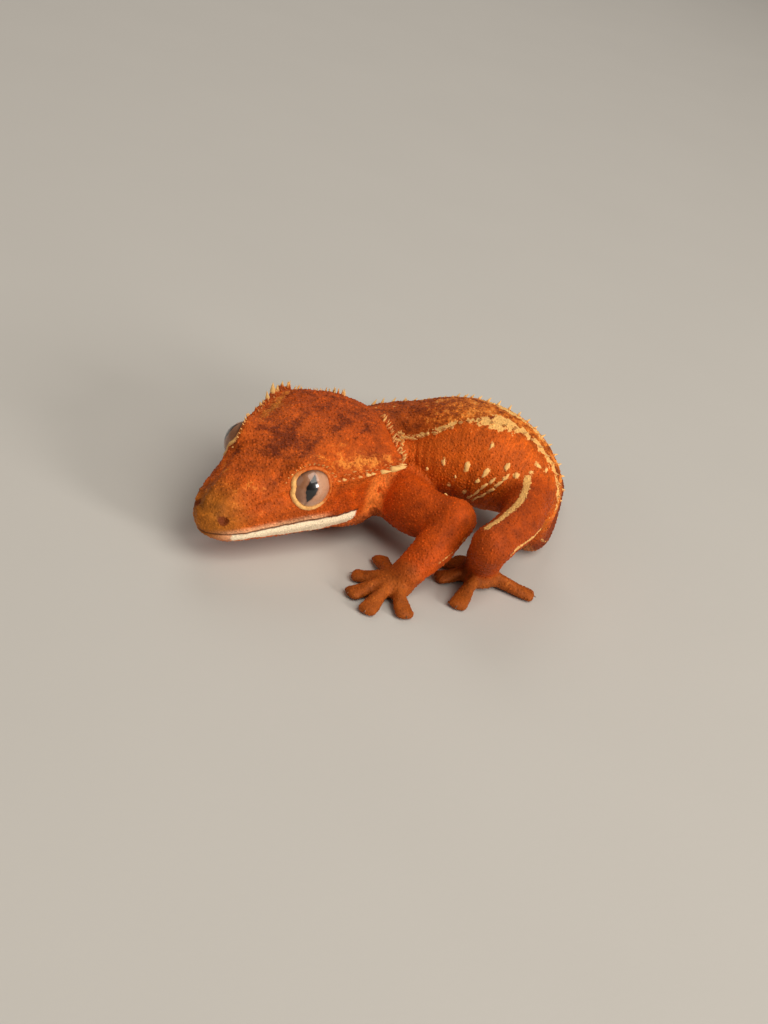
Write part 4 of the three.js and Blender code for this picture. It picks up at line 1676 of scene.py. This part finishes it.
    def cream(
        self, points: Array, head_at: Array, lip_up: Array, key: Array, angle: Array, head: Array, limb: Array
    ) -> Array:
        """Gives the pale parts: lower lip, crest band, row on the neck, stripes; 0.5 is their edge.

        Args:
            points: Places in the layout, in millimetres.
            head_at: Places in the head's frame.
            lip_up: Heights over the line between the lips.
            key: Key numbers along the body.
            angle: Degrees from the top of the body, positive to the left.
            head: Share of the skin that belongs to the head.
            limb: Share of the skin that belongs to the limbs.

        Returns:
            The shares, with their edge at 0.5.
        """
        near_head = (self.parts["head"] < self.parts["trunk"]) & (self.parts["head"] < 1.0)
        field_ = np.where(near_head, self.lower_lip(head_at[:, 0], lip_up) * head, 0.0)
        off = np.abs(angle) - along(self.body.crest_band, key, 1)
        arc = np.abs(np.radians(off)) * along(self.body.tube.sizes, key, 2)
        reach = along(self.body.crest_band, key, 2) - arc
        band = np.clip(0.5 + reach / 1.5, 0, 0.86) * (1 - head) * (1 - limb) * (key < 9)
        field_ = np.maximum(field_, band * ease(key, 9.0, 7.0))
        run = np.abs(self.length(key) - self.length(np.array([self.body.neck_row]))[0])
        ends = np.minimum(np.abs(angle) - 42, 96 - np.abs(angle)) * 0.1
        row = 0.5 + np.minimum(0.28 - run, ends) / 0.8
        field_ = np.maximum(field_, row * (self.parts["limbs"] > 0.7))
        for fleck in FLECKS:
            along_, across = fleck.axes(self, points)
            away = np.hypot(along_ / fleck.long, across / fleck.wide) * 2
            field_ = np.maximum(field_, 0.5 + (1 - away) * fleck.wide * 0.6)
        for stripe in STRIPES:
            line = stripe.points(self.tubes)[0]
            box = np.all((points > line.min(0) - 2) & (points < line.max(0) + 2), axis=1)
            away = np.linalg.norm(points[box, None, :] - line[None], axis=2).min(1)
            field_[box] = np.maximum(field_[box], 0.5 + (stripe.half - away) / 0.8)
        return np.clip(field_, 0, 1)

    def lower_lip(self, x: Array, up: Array) -> Array:
        """Gives the pale band under the line between the lips.

        Args:
            x: Places along the head.
            up: Heights over the line between the lips.

        Returns:
            The shares, with their edge at 0.5.
        """
        wide = (1.1 + 1.7 * ease(x, 9.5, 0.0)) * np.sqrt(np.clip((x + 9.0) / 1.8, 0, 1))
        band = np.minimum(-0.02 - up, wide + up)
        ends = np.minimum(x + 8.7, 10.8 - x) * 0.6
        return np.clip(0.5 + np.minimum(band, ends) / 0.8, 0, 1)

    def chart(self, points: Array) -> Array:
        """Gives places on an unwrap of the skin: head, trunk with tail, and each limb on its own field.

        Args:
            points: Places in the layout, in millimetres.

        Returns:
            The places, from 0 to 1.
        """
        key, angle, _ = self.unroll(points)
        head_at = self.head.into(points)
        round_ = np.arctan2(head_at[:, 1], head_at[:, 2] + 2.5) / (2 * math.pi) + 0.5
        on_head = np.column_stack([0.02 + 0.28 * (head_at[:, 0] + 21) / 36, 0.02 + 0.46 * round_])
        share = key / (len(self.body.rows) - 1)
        on_trunk = np.column_stack([0.34 + 0.64 * share, 0.02 + 0.46 * (angle / 360 + 0.5)])
        charts, gaps = [on_head, on_trunk], []
        share = np.linspace(0, 1, 24)
        for number, limb in enumerate(self.limbs):
            parts = [self.tubes[f"{limb.name}.{part}"].rail.at(share * 2) for part in ("upper", "lower")]
            x, y = limb.palm
            line = np.vstack([*parts, np.column_stack([x + 0 * share, y + 0 * share, 1.4 + 0 * share])[:1]])
            gap = np.linalg.norm(points[:, None] - line[None], axis=2)
            near = gap.argmin(1)
            away = points - line[near]
            turn = np.arctan2(away[:, 2], away[:, 1]) / (2 * math.pi) + 0.5
            beside = (points[:, :2] - [x, y] + 12) / 24
            flat = np.column_stack([0.135 + 0.1 * beside[:, 0], 0.46 * beside[:, 1]])
            arm = np.column_stack([0.11 * near / (len(line) - 1), 0.46 * turn])
            low = (points[:, 2] < 3.4)[:, None]
            charts.append(np.where(low, flat, arm) + [0.01 + 0.245 * number, 0.52])
            gaps.append(gap.min(1))
        tree = BVHTree.FromPolygons(self.points.tolist(), self.quads.tolist())
        first = self.quads[[tree.find_nearest(Vector(p))[2] for p in points], 0]
        region = np.argmin([self.parts[name][first] for name in ("head", "trunk", "limbs")], axis=0)
        region = np.where(region == 2, 2 + np.argmin(gaps, axis=0), region)
        return np.clip(np.choose(region[:, None], charts), 0.005, 0.995)

    def unroll(self, points: Array) -> tuple[Array, Array, Array]:
        """Finds the nearest place of the body's line for each point.

        Args:
            points: Places in the layout.

        Returns:
            Key numbers, degrees from the top (positive to the left) and millimetres around.
        """
        keys = np.linspace(0, len(self.body.rows) - 1, 721)
        centre, _, side, top, wide, high = self.body.tube.frames(keys)
        best = np.empty(len(points), dtype=int)
        for start in range(0, len(points), 20000):
            some = points[start : start + 20000]
            gap = ((some[:, None, :] - centre[None]) ** 2).sum(-1)
            best[start : start + 20000] = gap.argmin(1)
        away = points - centre[best]
        across, lift = (away * side[best]).sum(1), (away * top[best]).sum(1)
        angle = np.degrees(np.arctan2(across / wide[best], lift / high[best]))
        around = np.radians(angle) * (wide[best] + high[best]) / 2
        return keys[best], angle, around


def add_patches(piece: bpy.types.Object, roots: Array, flat: Array, across: float = 0.003) -> None:
    """Adds the map to bake with, where each small item is a patch at its root's place.

    Args:
        piece: A mesh of many items with the same count of points.
        roots: Places of the roots on the skin's unwrap.
        flat: Places of an item's points on its patch, from -0.5 to 0.5.
        across: The size of a patch.
    """
    places = (roots[:, None] + flat[None] * across).reshape(-1, 2)
    index = np.empty(len(piece.data.loops), dtype=np.int32)
    piece.data.loops.foreach_get("vertex_index", index)
    layer = piece.data.uv_layers.new(name="OFBake")
    layer.data.foreach_set("uv", places[index].astype(np.float32).ravel())


def smooth_min(a: Array, b: Array, blend: Array | float) -> Array:
    """Joins two distances with a fillet about as wide as blend."""
    share = np.clip(0.5 + 0.5 * (a - b) / blend, 0, 1)
    return (a * (1 - share) + b * share - blend * share * (1 - share)).astype(np.float32)


def sample(grid: Field, values: Array, points: Array) -> Array:
    """Reads a grid of values at points, between its corners.

    Args:
        grid: The grid that the skin is taken from.
        values: The grid's values.
        points: Where to read.

    Returns:
        The values.
    """
    at = (points - grid.origin) / grid.voxel
    low = np.clip(np.floor(at).astype(int), 0, np.array(grid.shape) - 2)
    share = at - low
    out = np.zeros(len(points))
    for i in range(2):
        for j in range(2):
            for k in range(2):
                weight = np.prod(np.where([i, j, k], share, 1 - share), axis=1)
                out += weight * values[low[:, 0] + i, low[:, 1] + j, low[:, 2] + k]
    return out


def fold_volume(points: Array, quads: Array) -> float:
    """Gives the signed volume inside a mesh."""
    a, b, c, d = (points[quads[:, k]] for k in range(4))
    return float((np.cross(a, b) * c).sum() + (np.cross(a, c) * d).sum()) / 6


@dataclass
class Spikes:
    """Many soft cones joined in one mesh."""

    roots: list[Array] = field(default_factory=list)
    ways: list[Array] = field(default_factory=list)
    bends: list[Array] = field(default_factory=list)
    sizes: list[tuple[float, float, float]] = field(default_factory=list)

    def add(self, root: Array, way: Array, bend: Array, long: float, radius: float, cream: float) -> None:
        """Adds one cone.

        Args:
            root: Where it stands.
            way: Its direction.
            bend: How its tip leans off that direction, over its length.
            long: Its length in millimetres.
            radius: Its radius at the root.
            cream: How pale it is.
        """
        self.roots.append(np.asarray(root, dtype=float))
        self.ways.append(unit(np.asarray(way, dtype=float)))
        self.bends.append(np.asarray(bend, dtype=float))
        self.sizes.append((long, radius, cream))

    def build(
        self,
        name: str,
        place: Place,
        finish: bpy.types.Material,
        chart: Callable[[Array], Array] | None = None,
        sides: int = 7,
    ) -> bpy.types.Object:
        """Makes the mesh of all cones.

        Args:
            name: The piece's name.
            place: The step to the shared frame.
            finish: Its finish.
            chart: Gives the roots' places on the skin's unwrap, for the map to bake with.
            sides: Sides of each cone.

        Returns:
            The piece.
        """
        shares = np.array([-0.16, 0.0, 0.14, 0.36, 0.60, 0.82, 0.95])
        swell = np.array([0.35, 0.85, 1.0, 0.80, 0.52, 0.26, 0.11])
        turn = circle(sides)
        points, tips, creams = [], [], []
        per = len(shares) * sides + 1
        cones = zip(self.roots, self.ways, self.bends, self.sizes)
        for root, way, bend, (long, radius, cream) in cones:
            one = unit(np.cross(way, [0.3, 0.2, 0.93] if abs(way[2]) < 0.9 else [1.0, 0.0, 0.0]))
            two = np.cross(way, one)
            for s, w in zip(shares, swell):
                middle = root + way * (long * s - 0.2 * (1 - s)) + bend * long * s * s
                wheel = np.outer(np.cos(turn), one) + np.outer(np.sin(turn), two)
                points.append(middle + radius * w * wheel)
            points.append((root + way * long + bend * long)[None])
            tips.append(np.concatenate([np.repeat(shares.clip(0), sides), [1.0]]))
            creams.append(np.full(per, cream))
        faces = cone_faces(len(shares), sides, len(self.roots))
        piece = make_object(name, place.metres(np.vstack(points)), faces)
        store(piece, "tip", np.concatenate(tips))
        store(piece, "cream", np.concatenate(creams))
        if chart is not None:
            flat = np.outer(shares.clip(0) - 0.5, [1.0, 0.0]).repeat(sides, 0) + [0.0, 0.2]
            add_patches(piece, chart(np.array(self.roots)), np.vstack([flat, [[0.5, 0.0]]]))
        piece.data.materials.append(finish)
        return piece


@dataclass
class Granules:
    """Granular scales: small domes over the whole skin, with the skin's own markings."""

    skin: GeckoSkin
    place: Place
    gap_mm: float = 0.47
    candidates: int = 90000
    sides: int = 6

    def spots(self) -> tuple[Array, Array]:
        """Draws places on the skin that keep a gap between them.

        Returns:
            Face numbers and the shares of the face's four corners.
        """
        draw = np.random.default_rng(SEED + 1)
        skin = self.skin
        a, b, c, d = (skin.points[skin.quads[:, k]] for k in range(4))
        area = np.linalg.norm(np.cross(c - a, d - b), axis=1)
        face = draw.choice(len(area), self.candidates, p=area / area.sum())
        s, t = draw.random((2, self.candidates))
        shares = np.stack([(1 - s) * (1 - t), s * (1 - t), s * t, (1 - s) * t], 1)
        at = (skin.points[skin.quads[face]] * shares[..., None]).sum(1)
        cells = np.floor(at / self.gap_mm).astype(int)
        taken: dict[tuple[int, int, int], list[Array]] = {}
        kept = []
        for i, (cell, spot) in enumerate(zip(map(tuple, cells.tolist()), at.tolist())):
            x, y, z = cell
            near = (
                other
                for dx in (-1, 0, 1)
                for dy in (-1, 0, 1)
                for dz in (-1, 0, 1)
                for other in taken.get((x + dx, y + dy, z + dz), ())
            )
            if all(math.dist(other, spot) > self.gap_mm for other in near):
                taken.setdefault(cell, []).append(spot)
                kept.append(i)
        return face[kept], shares[kept]

    def build(self) -> list[bpy.types.Object]:
        """Makes the scales, in one mesh each for head, trunk and limbs.

        Returns:
            The pieces.
        """
        skin, draw = self.skin, np.random.default_rng(SEED + 2)
        face, shares = self.spots()

        def read(values: Array) -> Array:
            """Reads a measure of the skin at the places."""
            corner = values[skin.quads[face]]
            return (corner * (shares[..., None] if values.ndim > 1 else shares)).sum(1)

        at, out = read(skin.points), unit(read(skin.normals))
        measures = {name: read(values) for name, values in skin.measures.items()}
        head_at = skin.head.into(at)
        eye = np.minimum(*(np.linalg.norm(head_at - skin.head.eye_centre(side), axis=1) for side in Side))
        head, trunk, limbs = (read(skin.parts[name]) for name in ("head", "trunk", "limbs"))
        region = np.argmin([head, trunk, limbs], axis=0)
        hands = read(skin.parts["hands"]) < 0.4
        free = (measures["dark"] < 1.6) & (at[:, 2] > 0.3) & (eye > 3.85) & (np.abs(measures["mouth"]) > 0.3)
        vary = 1 + 0.2 * draw.standard_normal(len(at)).clip(-1.5, 1.5)
        radius = np.choose(region, [0.235, 0.20, 0.20]) * vary
        radius *= np.where(region == 0, 1 - 0.3 * ease(head_at[:, 0], 7, 12), 1.0)
        radius *= np.where(hands, 0.8, 1.0)
        radius *= 1 - 0.45 * (measures["pale"] * ease(measures["cream"], 0.3, 0.6))
        measures["tint"] = (1.03 + 0.13 * draw.standard_normal(len(at))).clip(0.75, 1.35)
        pieces = []
        for number, name in enumerate(("head_scales", "trunk_scales", "limb_scales")):
            some = free & (region == number)
            chosen = {key: values[some] for key, values in measures.items()}
            pieces.append(self.domes(name, at[some], out[some], radius[some], chosen))
        return pieces

    def domes(
        self, name: str, at: Array, out: Array, radius: Array, measures: dict[str, Array]
    ) -> bpy.types.Object:
        """Makes one mesh of low domes.

        Args:
            name: Its name.
            at: Where they sit.
            out: Outward directions there.
            radius: Their radii.
            measures: What the finish reads, for each dome.

        Returns:
            The piece.
        """
        one = unit(np.cross(out, np.where(np.abs(out[:, 2:]) < 0.9, [[0.0, 0.0, 1.0]], [[1.0, 0.0, 0.0]])))
        two = np.cross(out, one)
        turn = circle(self.sides)
        wheel = one[:, None] * np.cos(turn)[None, :, None] + two[:, None] * np.sin(turn)[None, :, None]
        r, up = radius[:, None, None], out[:, None]
        rim = at[:, None] + wheel * r - up * 0.10
        ring = at[:, None] + wheel * r * 0.68 + up * r * 0.26
        points = np.concatenate([rim, ring, at[:, None] + up * r * 0.42], axis=1)
        faces = cone_faces(2, self.sides, len(at))
        piece = make_object(name, self.place.metres(points.reshape(-1, 3)), faces)
        for key, values in measures.items():
            store(piece, key, np.repeat(values, 2 * self.sides + 1, axis=0))
        edge = 0.5 * np.stack([np.cos(turn), np.sin(turn)], 1)
        add_patches(piece, self.skin.chart(at), np.vstack([edge, edge * 0.68, [[0.0, 0.0]]]))
        piece.data.materials.append(self.skin.finish)
        return piece


@dataclass
class Flecks:
    """Pale raised flecks on both flanks."""

    skin: GeckoSkin
    place: Place
    high: float = 0.16
    sides: int = 12

    def build(self) -> bpy.types.Object:
        """Makes all flecks as one mesh of low lengthened domes.

        Returns:
            The piece.
        """
        tree = BVHTree.FromPolygons(self.skin.points.tolist(), self.skin.quads.tolist())
        turn = circle(self.sides)
        steps = ((1.0, -0.9), (0.9, 0.35), (0.66, 0.8), (0.35, 0.98))
        points, roots = [], []
        for number, (fleck, side) in enumerate((f, s) for f in FLECKS for s in Side):
            at, long_, wide_, out = fleck.frame(self.skin, side)
            hit, normal = tree.ray_cast(Vector(at + out * 3), Vector(-out), 6.0)[:2]
            if hit is None:
                hit, normal = tree.find_nearest(Vector(at))[:2]
            at, out = np.array(hit), unit(np.array(normal) if normal.dot(Vector(out)) > 0 else out)
            long_ = unit(long_ - out * (long_ @ out))
            wide_ = np.cross(out, long_)
            edge = 1 + 0.16 * np.sin(3 * turn + number) + 0.1 * np.sin(5 * turn + 2 * number)
            for wide, high in steps:
                flat = np.outer(np.cos(turn) * edge, long_ * fleck.long)
                flat += np.outer(np.sin(turn) * edge, wide_ * fleck.wide)
                points.append(at + flat * wide * 0.5 + out * high * self.high)
            points.append((at + out * self.high)[None])
            roots.append(at)
        faces = cone_faces(len(steps), self.sides, len(roots))
        piece = make_object("flecks", self.place.metres(np.vstack(points)), faces)
        count = len(piece.data.vertices)
        store(piece, "tip", np.full(count, 0.5))
        store(piece, "cream", np.full(count, 0.75))
        rings = [np.stack([np.cos(turn), np.sin(turn)], 1) * 0.5 * wide for wide, _ in steps]
        add_patches(piece, self.skin.chart(np.array(roots)), np.vstack([*rings, [[0.0, 0.0]]]))
        piece.data.materials.append(SpineFinish().material())
        return piece


@dataclass
class Lids:
    """The raised ring round each eye, along the edge where the eyeball comes out of the skin."""

    head: HeadForm
    skin: GeckoSkin
    minor: float = 0.30

    def build(self, side: Side, finish: bpy.types.Material) -> bpy.types.Object:
        """Makes one ring, thicker and paler at the front and below.

        Args:
            side: The side of the gecko.
            finish: Its finish.

        Returns:
            The piece.
        """
        edge, centre = self.skin.openings[side], self.head.eye_centre(side)
        a, b = circle(len(edge)), circle(12)
        front = ease(np.cos(a + 0.75), -0.5, 0.5)
        thick = self.minor * (1 + 0.35 * front + 0.06 * np.sin(23 * a) + 0.05 * np.sin(41 * a + 1))
        out = unit(edge - centre)
        across = unit(np.cross(np.roll(edge, -1, 0) - np.roll(edge, 1, 0), out))
        cut = out[:, None] * np.cos(b)[None, :, None] + across[:, None] * np.sin(b)[None, :, None]
        points = (edge[:, None] + cut * thick[:, None, None]).reshape(-1, 3)
        i, j = np.meshgrid(np.arange(len(a)), np.arange(len(b)), indexing="ij")
        i2, j2 = (i + 1) % len(a), (j + 1) % len(b)
        corners = [i * len(b) + j, i2 * len(b) + j, i2 * len(b) + j2, i * len(b) + j2]
        faces = np.stack(corners, -1).reshape(-1, 4)
        name = f"lid_{side.name.lower()}"
        piece = make_object(name, self.skin.place.metres(self.head.out(points)), faces)
        store(piece, "tip", np.full(len(points), 0.2))
        store(piece, "cream", np.repeat(0.38 + 0.42 * front, len(b)))
        piece.data.materials.append(finish)
        return piece


@dataclass(frozen=True)
class Bead:
    """A bead or cone of the head's crest: share of the way back, length, radius, how pale."""

    share: float
    long: float
    radius: float
    cream: float


BEADS = (
    Bead(-0.20, 0.30, 0.22, 0.15),
    Bead(-0.10, 0.30, 0.22, 0.20),
    Bead(0.02, 0.32, 0.24, 0.20),
    Bead(0.10, 0.30, 0.22, 0.15),
    Bead(0.19, 0.45, 0.30, 0.60),
    Bead(0.29, 0.34, 0.24, 0.25),
    Bead(0.38, 0.45, 0.30, 0.45),
    Bead(0.49, 0.60, 0.36, 0.80),
    Bead(0.56, 0.48, 0.28, 0.75),
    Bead(0.665, 1.35, 0.38, 1.0),
    Bead(0.80, 1.85, 0.50, 1.05),
    Bead(0.90, 1.35, 0.38, 0.70),
    Bead(0.98, 1.0, 0.30, 0.60),
)


@dataclass
class Crests:
    """Spines of the head, neck and back, set on the skin."""

    head: HeadForm
    body: BodyForm
    skin: GeckoSkin
    back_step_mm: float = 1.05
    # from the back corner of the head to the middle of the nape, in the head's frame
    nape_row: Rows = (
        (-15.6, 12.3, 2.2),
        (-17.1, 10.8, 1.9),
        (-18.2, 8.2, 2.9),
        (-18.8, 5.6, 3.8),
        (-19.2, 3.6, 4.1),
    )

    def __post_init__(self) -> None:
        """Makes the tree that finds the skin."""
        self.tree = BVHTree.FromPolygons(self.skin.points.tolist(), self.skin.quads.tolist())
        self.draw = np.random.default_rng(SEED)

    def seat(self, at: Array, out: Array) -> Array:
        """Finds the skin under a place, looking inwards.

        Args:
            at: The place.
            out: The outward direction there.

        Returns:
            The place on the skin.
        """
        start = at + out * 2.0
        hit = self.tree.ray_cast(Vector(start), Vector(-out), 4.0)[0]
        if hit is None:
            hit = self.tree.find_nearest(Vector(at))[0]
        return np.array(hit)

    def on_head(self, spikes: Spikes, side: Side) -> None:
        """Adds the row from the brow to the back corner of the head and on to the nape.

        Args:
            spikes: Where the cones are gathered.
            side: The side of the gecko.
        """
        turn, sections, rear = self.head.turn, self.head.sections, Rail(self.nape_row)
        for bead in BEADS:
            local = self.head.crest(np.array([bead.share]), side)[0]
            way = turn @ unit(np.array([-0.25 - 0.75 * max(bead.share, 0) ** 2, side.value * 1.0, 0.45]))
            at = self.seat(self.head.out(local * [1, 0.99, 1] + [0, 0, 0.1]), way)
            spikes.add(at, way, turn @ np.array([-0.2, 0.0, 0.0]), bead.long, bead.radius, bead.cream)
        for x in np.linspace(1.6, -15.4, 36):
            wide, high = along(sections, x, 4), along(sections, x, 5)
            spot = np.array((x, side.value * (wide - 0.55), high + 0.65)) + self.draw.normal(0, 0.28, 3)
            way = turn @ unit(np.array([-0.3, side.value * 0.8, 0.8]) + self.draw.normal(0, 0.15, 3))
            small = self.seat(self.head.out(spot), way)
            long = 0.28 + 0.35 * self.draw.random()
            spikes.add(small, way, np.zeros(3), long, 0.2, 0.05 + 0.35 * self.draw.random())
        for key in np.linspace(0.1, 4, 30):
            spot = rear.at(key)[0] + self.draw.normal(0, 0.15, 3)
            way = turn @ unit(np.array([-0.35, side.value * 0.35, 1.0]) + self.draw.normal(0, 0.15, 3))
            at = self.seat(self.head.out(spot * [1, side.value, 1]), way)
            long = 0.8 + 0.4 * self.draw.random()
            spikes.add(at, way, np.zeros(3), long, 0.22, 0.3 + 0.4 * self.draw.random())

    def on_lids(self, spikes: Spikes, side: Side) -> None:
        """Adds the small spines along the upper lid.

        Args:
            spikes: Where the cones are gathered.
            side: The side of the gecko.
        """
        centre, way = self.head.eye_centre(side), self.head.eye_way(side)
        ahead, up = upright(way)
        for i in range(15):
            a = math.radians(20 + 10.5 * i)
            out = ahead * math.cos(a) + up * math.sin(a)
            local = centre + out * 3.6 + way * 1.05
            lean = self.head.turn @ unit(out + way * 0.9 + self.draw.normal(0, 0.12, 3))
            at = self.seat(self.head.out(local), lean)
            long = 0.28 + 0.3 * bell((a - 1.9), 0.9) + 0.1 * self.draw.random()
            spikes.add(at, lean, np.zeros(3), long, 0.15, 0.35 + 0.3 * self.draw.random())

    def on_body(self, spikes: Spikes, side: Side) -> None:
        """Adds the neck's row and the row along the back.

        Args:
            spikes: Where the cones are gathered.
            side: The side of the gecko.
        """
        body = self.body
        for i in range(11):
            angle = 47 + 4.4 * i
            at, out, way = body.tube.spot(body.neck_row + 0.06 * math.sin(i), angle * side.value)
            long = 0.60 + 0.3 * self.draw.random()
            lean = unit(out + way * 0.35 + self.draw.normal(0, 0.1, 3))
            spikes.add(self.seat(at, out), lean, way * 0.1, long, 0.38, 0.9)
        keys = np.linspace(1.6, 7.9, 400)
        run = self.skin.length(keys)
        for place in np.arange(run[0], run[-1], self.back_step_mm):
            key = float(np.interp(place, run, keys))
            at, out, way = (v[0] for v in body.crest(np.array([key]), side))
            across = np.cross(out, way)
            big = 0.58 + 0.62 * float(ease(key, 4.5, 3.8)) + 0.2 * float(bell(key - 5.1, 0.6))
            big *= float(ease(key, 8.1, 6.9)) * 0.7 + 0.3
            down = across * side.value * (1 if (across * side.value)[2] < 0 else -1)
            for main in (True, False):
                spread = 0.12 if main else 0.3
                spot = self.seat(at + across * self.draw.normal(0, spread), out)
                long = big * ((1.0 if main else 0.5) + 0.35 * self.draw.random())
                lean = unit(out + down * 0.3 + way * (0.4 + 0.2 * self.draw.normal()))
                radius = (0.15 + 0.15 * big) * (1.0 if main else 0.7)
                pale = (0.65 if main else 0.1) + 0.35 * self.draw.random()
                spikes.add(spot, lean, way * 0.15, long, radius, pale)

    def build(self, place: Place) -> list[bpy.types.Object]:
        """Makes the spines.

        Args:
            place: The step to the shared frame.

        Returns:
            The pieces.
        """
        finish = SpineFinish().material()
        head, back = Spikes(), Spikes()
        for side in Side:
            self.on_head(head, side)
            self.on_lids(head, side)
            self.on_body(back, side)
        rows = (("head_crest", head), ("back_crest", back))
        return [spikes.build(name, place, finish, self.skin.chart) for name, spikes in rows]


@dataclass
class Eyes:
    """The two eyeballs."""

    head: HeadForm
    place: Place
    gaze_ahead: float = 38.0
    gaze_lift: float = 20.0
    slit_lean: float = 24.0

    def build(self, side: Side, finish: bpy.types.Material) -> bpy.types.Object:
        """Makes one eyeball with its pattern's frame.

        Args:
            side: The side of the gecko.
            finish: Its finish.

        Returns:
            The piece.
        """
        centre = self.head.eye_centre(side)
        turn, lift = math.radians(self.gaze_ahead), math.radians(self.gaze_lift)
        flat = side.value * math.cos(turn) * math.cos(lift)
        way = np.array([math.sin(turn) * math.cos(lift), flat, math.sin(lift)])
        ahead, up = upright(way)
        lean = math.radians(self.slit_lean)
        ahead, up = ahead * math.cos(lean) + up * math.sin(lean), up * math.cos(lean) - ahead * math.sin(lean)
        radius = self.head.eye_radius
        shell = Shell.over(globe(np.linspace(math.pi / 2, -math.pi / 2, 49)[1:-1], circle(96)) * radius)
        look = shell.points / radius
        look[-2:] = [[0, 0, 1], [0, 0, -1]]
        at = look @ np.array([ahead, up, way]) * radius + centre
        name = f"eyeball_{side.name.lower()}"
        piece = make_object(name, self.place.metres(self.head.out(at)), shell.triangles)
        store(piece, "look", look)
        away = (at - centre) / radius
        # how far from the middle of the opening, for the dark ring that is partly pigment and partly painted
        # shade
        store(piece, "rim", np.linalg.norm(np.cross(away, self.head.eye_way(side)), axis=1))
        piece.data.materials.append(finish)
        return piece


@dataclass
class Claws:
    """The small claws past the toe pads."""

    limbs: list[LimbForm]
    long: float = 0.62
    radius: float = 0.16

    def build(self, place: Place) -> bpy.types.Object:
        """Makes all claws as one mesh.

        Args:
            place: The step to the shared frame.

        Returns:
            The piece.
        """
        spikes = Spikes()
        for limb in self.limbs:
            for degrees, length in limb.toes:
                a = math.radians(degrees)
                way = np.array([math.cos(a), math.sin(a), 0.0])
                reach = length * 0.88 + 0.42
                root = np.array([limb.palm[0] + way[0] * reach, limb.palm[1] + way[1] * reach, 0.9])
                spikes.add(root, way + [0, 0, 0.1], np.array([0, 0, -0.5]), self.long, self.radius, 0.0)
        return spikes.build("claws", place, ClawFinish().material())


@dataclass
class Studio:
    """Floor, lights and camera."""

    view: View
    place: Place
    floor_half: float = 3.0
    world_strength: float = 0.10

    def floor(self) -> bpy.types.Object:
        """Makes the floor.

        Returns:
            The floor.
        """
        half = self.floor_half
        corners = [(-half, -half, 0), (half, -half, 0), (half, half, 0), (-half, half, 0)]
        piece = make_object("pale_floor", corners, [(0, 1, 2, 3)])
        piece.data.materials.append(FloorFinish().material())
        return piece

    def lamp(self, name: str, at: Sequence[float], size: float, power: float, colour: Rgb) -> None:
        """Adds a soft square light that faces the gecko.

        Args:
            name: Its name.
            at: Its place in metres.
            size: Its width.
            power: Its power in watts.
            colour: Its colour.
        """
        data = bpy.data.lights.new(name, "AREA")
        data.size, data.energy, data.color = size, power, colour
        lamp = bpy.data.objects.new(name, data)
        lamp.location = at
        aim = Vector((0.0, 0.0, 0.008)) - Vector(at)
        lamp.rotation_euler = aim.to_track_quat("-Z", "Y").to_euler()
        bpy.context.scene.collection.objects.link(lamp)

    def lights(self) -> None:
        """Adds the lights and the soft surroundings."""
        self.lamp("key", (0.42, -0.30, 0.84), 0.8, 7.6, (1.0, 0.94, 0.86))
        self.lamp("window", (0.66, -0.34, 0.26), 0.2, 3.2, (1.0, 0.95, 0.90))
        self.lamp("fill", (-0.5, -0.5, 0.35), 0.6, 0.8, (1.0, 0.95, 0.90))
        self.lamp("back", (-0.15, 0.6, 0.5), 0.4, 1.1, (1.0, 0.95, 0.90))
        world = bpy.data.worlds.new("soft_room")
        world.use_nodes = True
        background = world.node_tree.nodes["Background"]
        background.inputs["Color"].default_value = (1.0, 0.94, 0.88, 1.0)
        background.inputs["Strength"].default_value = self.world_strength
        bpy.context.scene.world = world

    def camera(self) -> None:
        """Adds the camera of the photograph."""
        view = self.view
        data = bpy.data.cameras.new("camera")
        data.sensor_width = view.sensor_mm
        data.lens = view.focal_px / view.size_px[1] * view.sensor_mm
        data.clip_start, data.clip_end = 0.01, 20.0
        camera = bpy.data.objects.new("camera", data)
        turn = Matrix(np.column_stack([view.x, -view.y, -view.z]).tolist()).to_4x4()
        camera.matrix_world = Matrix.Translation(Vector(self.place.metres(np.array(view.at)))) @ turn
        bpy.context.scene.collection.objects.link(camera)
        bpy.context.scene.camera = camera

    def tone(self) -> None:
        """Keeps the colours as they are."""
        settings = bpy.context.scene.view_settings
        settings.view_transform = "Standard"
        settings.look = "None"


FLESH = (
    "head",
    "lower_jaw",
    "neck",
    "chest",
    "belly",
    "rump",
    "tail_base",
    "tail_front",
    "tail_middle",
    "tail_tip",
)


def hand_over(piece: bpy.types.Object, slot: Slot, *nodes: str) -> None:
    """Ties a piece to the body, hides the solids that it stands for, and reports it.

    Args:
        piece: The piece.
        slot: Its material slot; not used.
        nodes: Names of the solids that it replaces.
    """
    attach(piece, "root")
    if nodes:
        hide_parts(*nodes)
    LOG.info("%s: %d faces", piece.name, len(piece.data.polygons))


def main() -> None:
    """Builds the gecko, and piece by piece."""
    logging.basicConfig(level=logging.INFO, format="%(message)s")
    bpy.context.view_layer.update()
    head, body, limbs = HeadForm(), BodyForm(), limb_forms()
    place = Place(head)
    studio = Studio(View(), place)
    studio.camera()
    studio.tone()
    studio.floor()
    studio.lights()
    skin = GeckoSkin(head, body, limbs, place)
    skin.build()
    hand_over(skin.dress(), Slot.SKIN, *FLESH, *(name for limb in limbs for name in limb.nodes))
    for spines in Crests(head, body, skin).build(place):
        hand_over(spines, Slot.SKIN)
    for scales in (*Granules(skin, place).build(), Flecks(skin, place).build()):
        hand_over(scales, Slot.SKIN)
    lids, soft = Lids(head, skin), SpineFinish().material()
    for side in Side:
        hand_over(lids.build(side, soft), Slot.SKIN)
    eyes, finish = Eyes(head, place), EyeFinish().material()
    for side in Side:
        hand_over(eyes.build(side, finish), Slot.EYE, f"eye_{side.name.lower()}")
    hand_over(Claws(limbs).build(place), Slot.HANDS)
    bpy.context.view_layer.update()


if __name__ == "__main__":
    main()
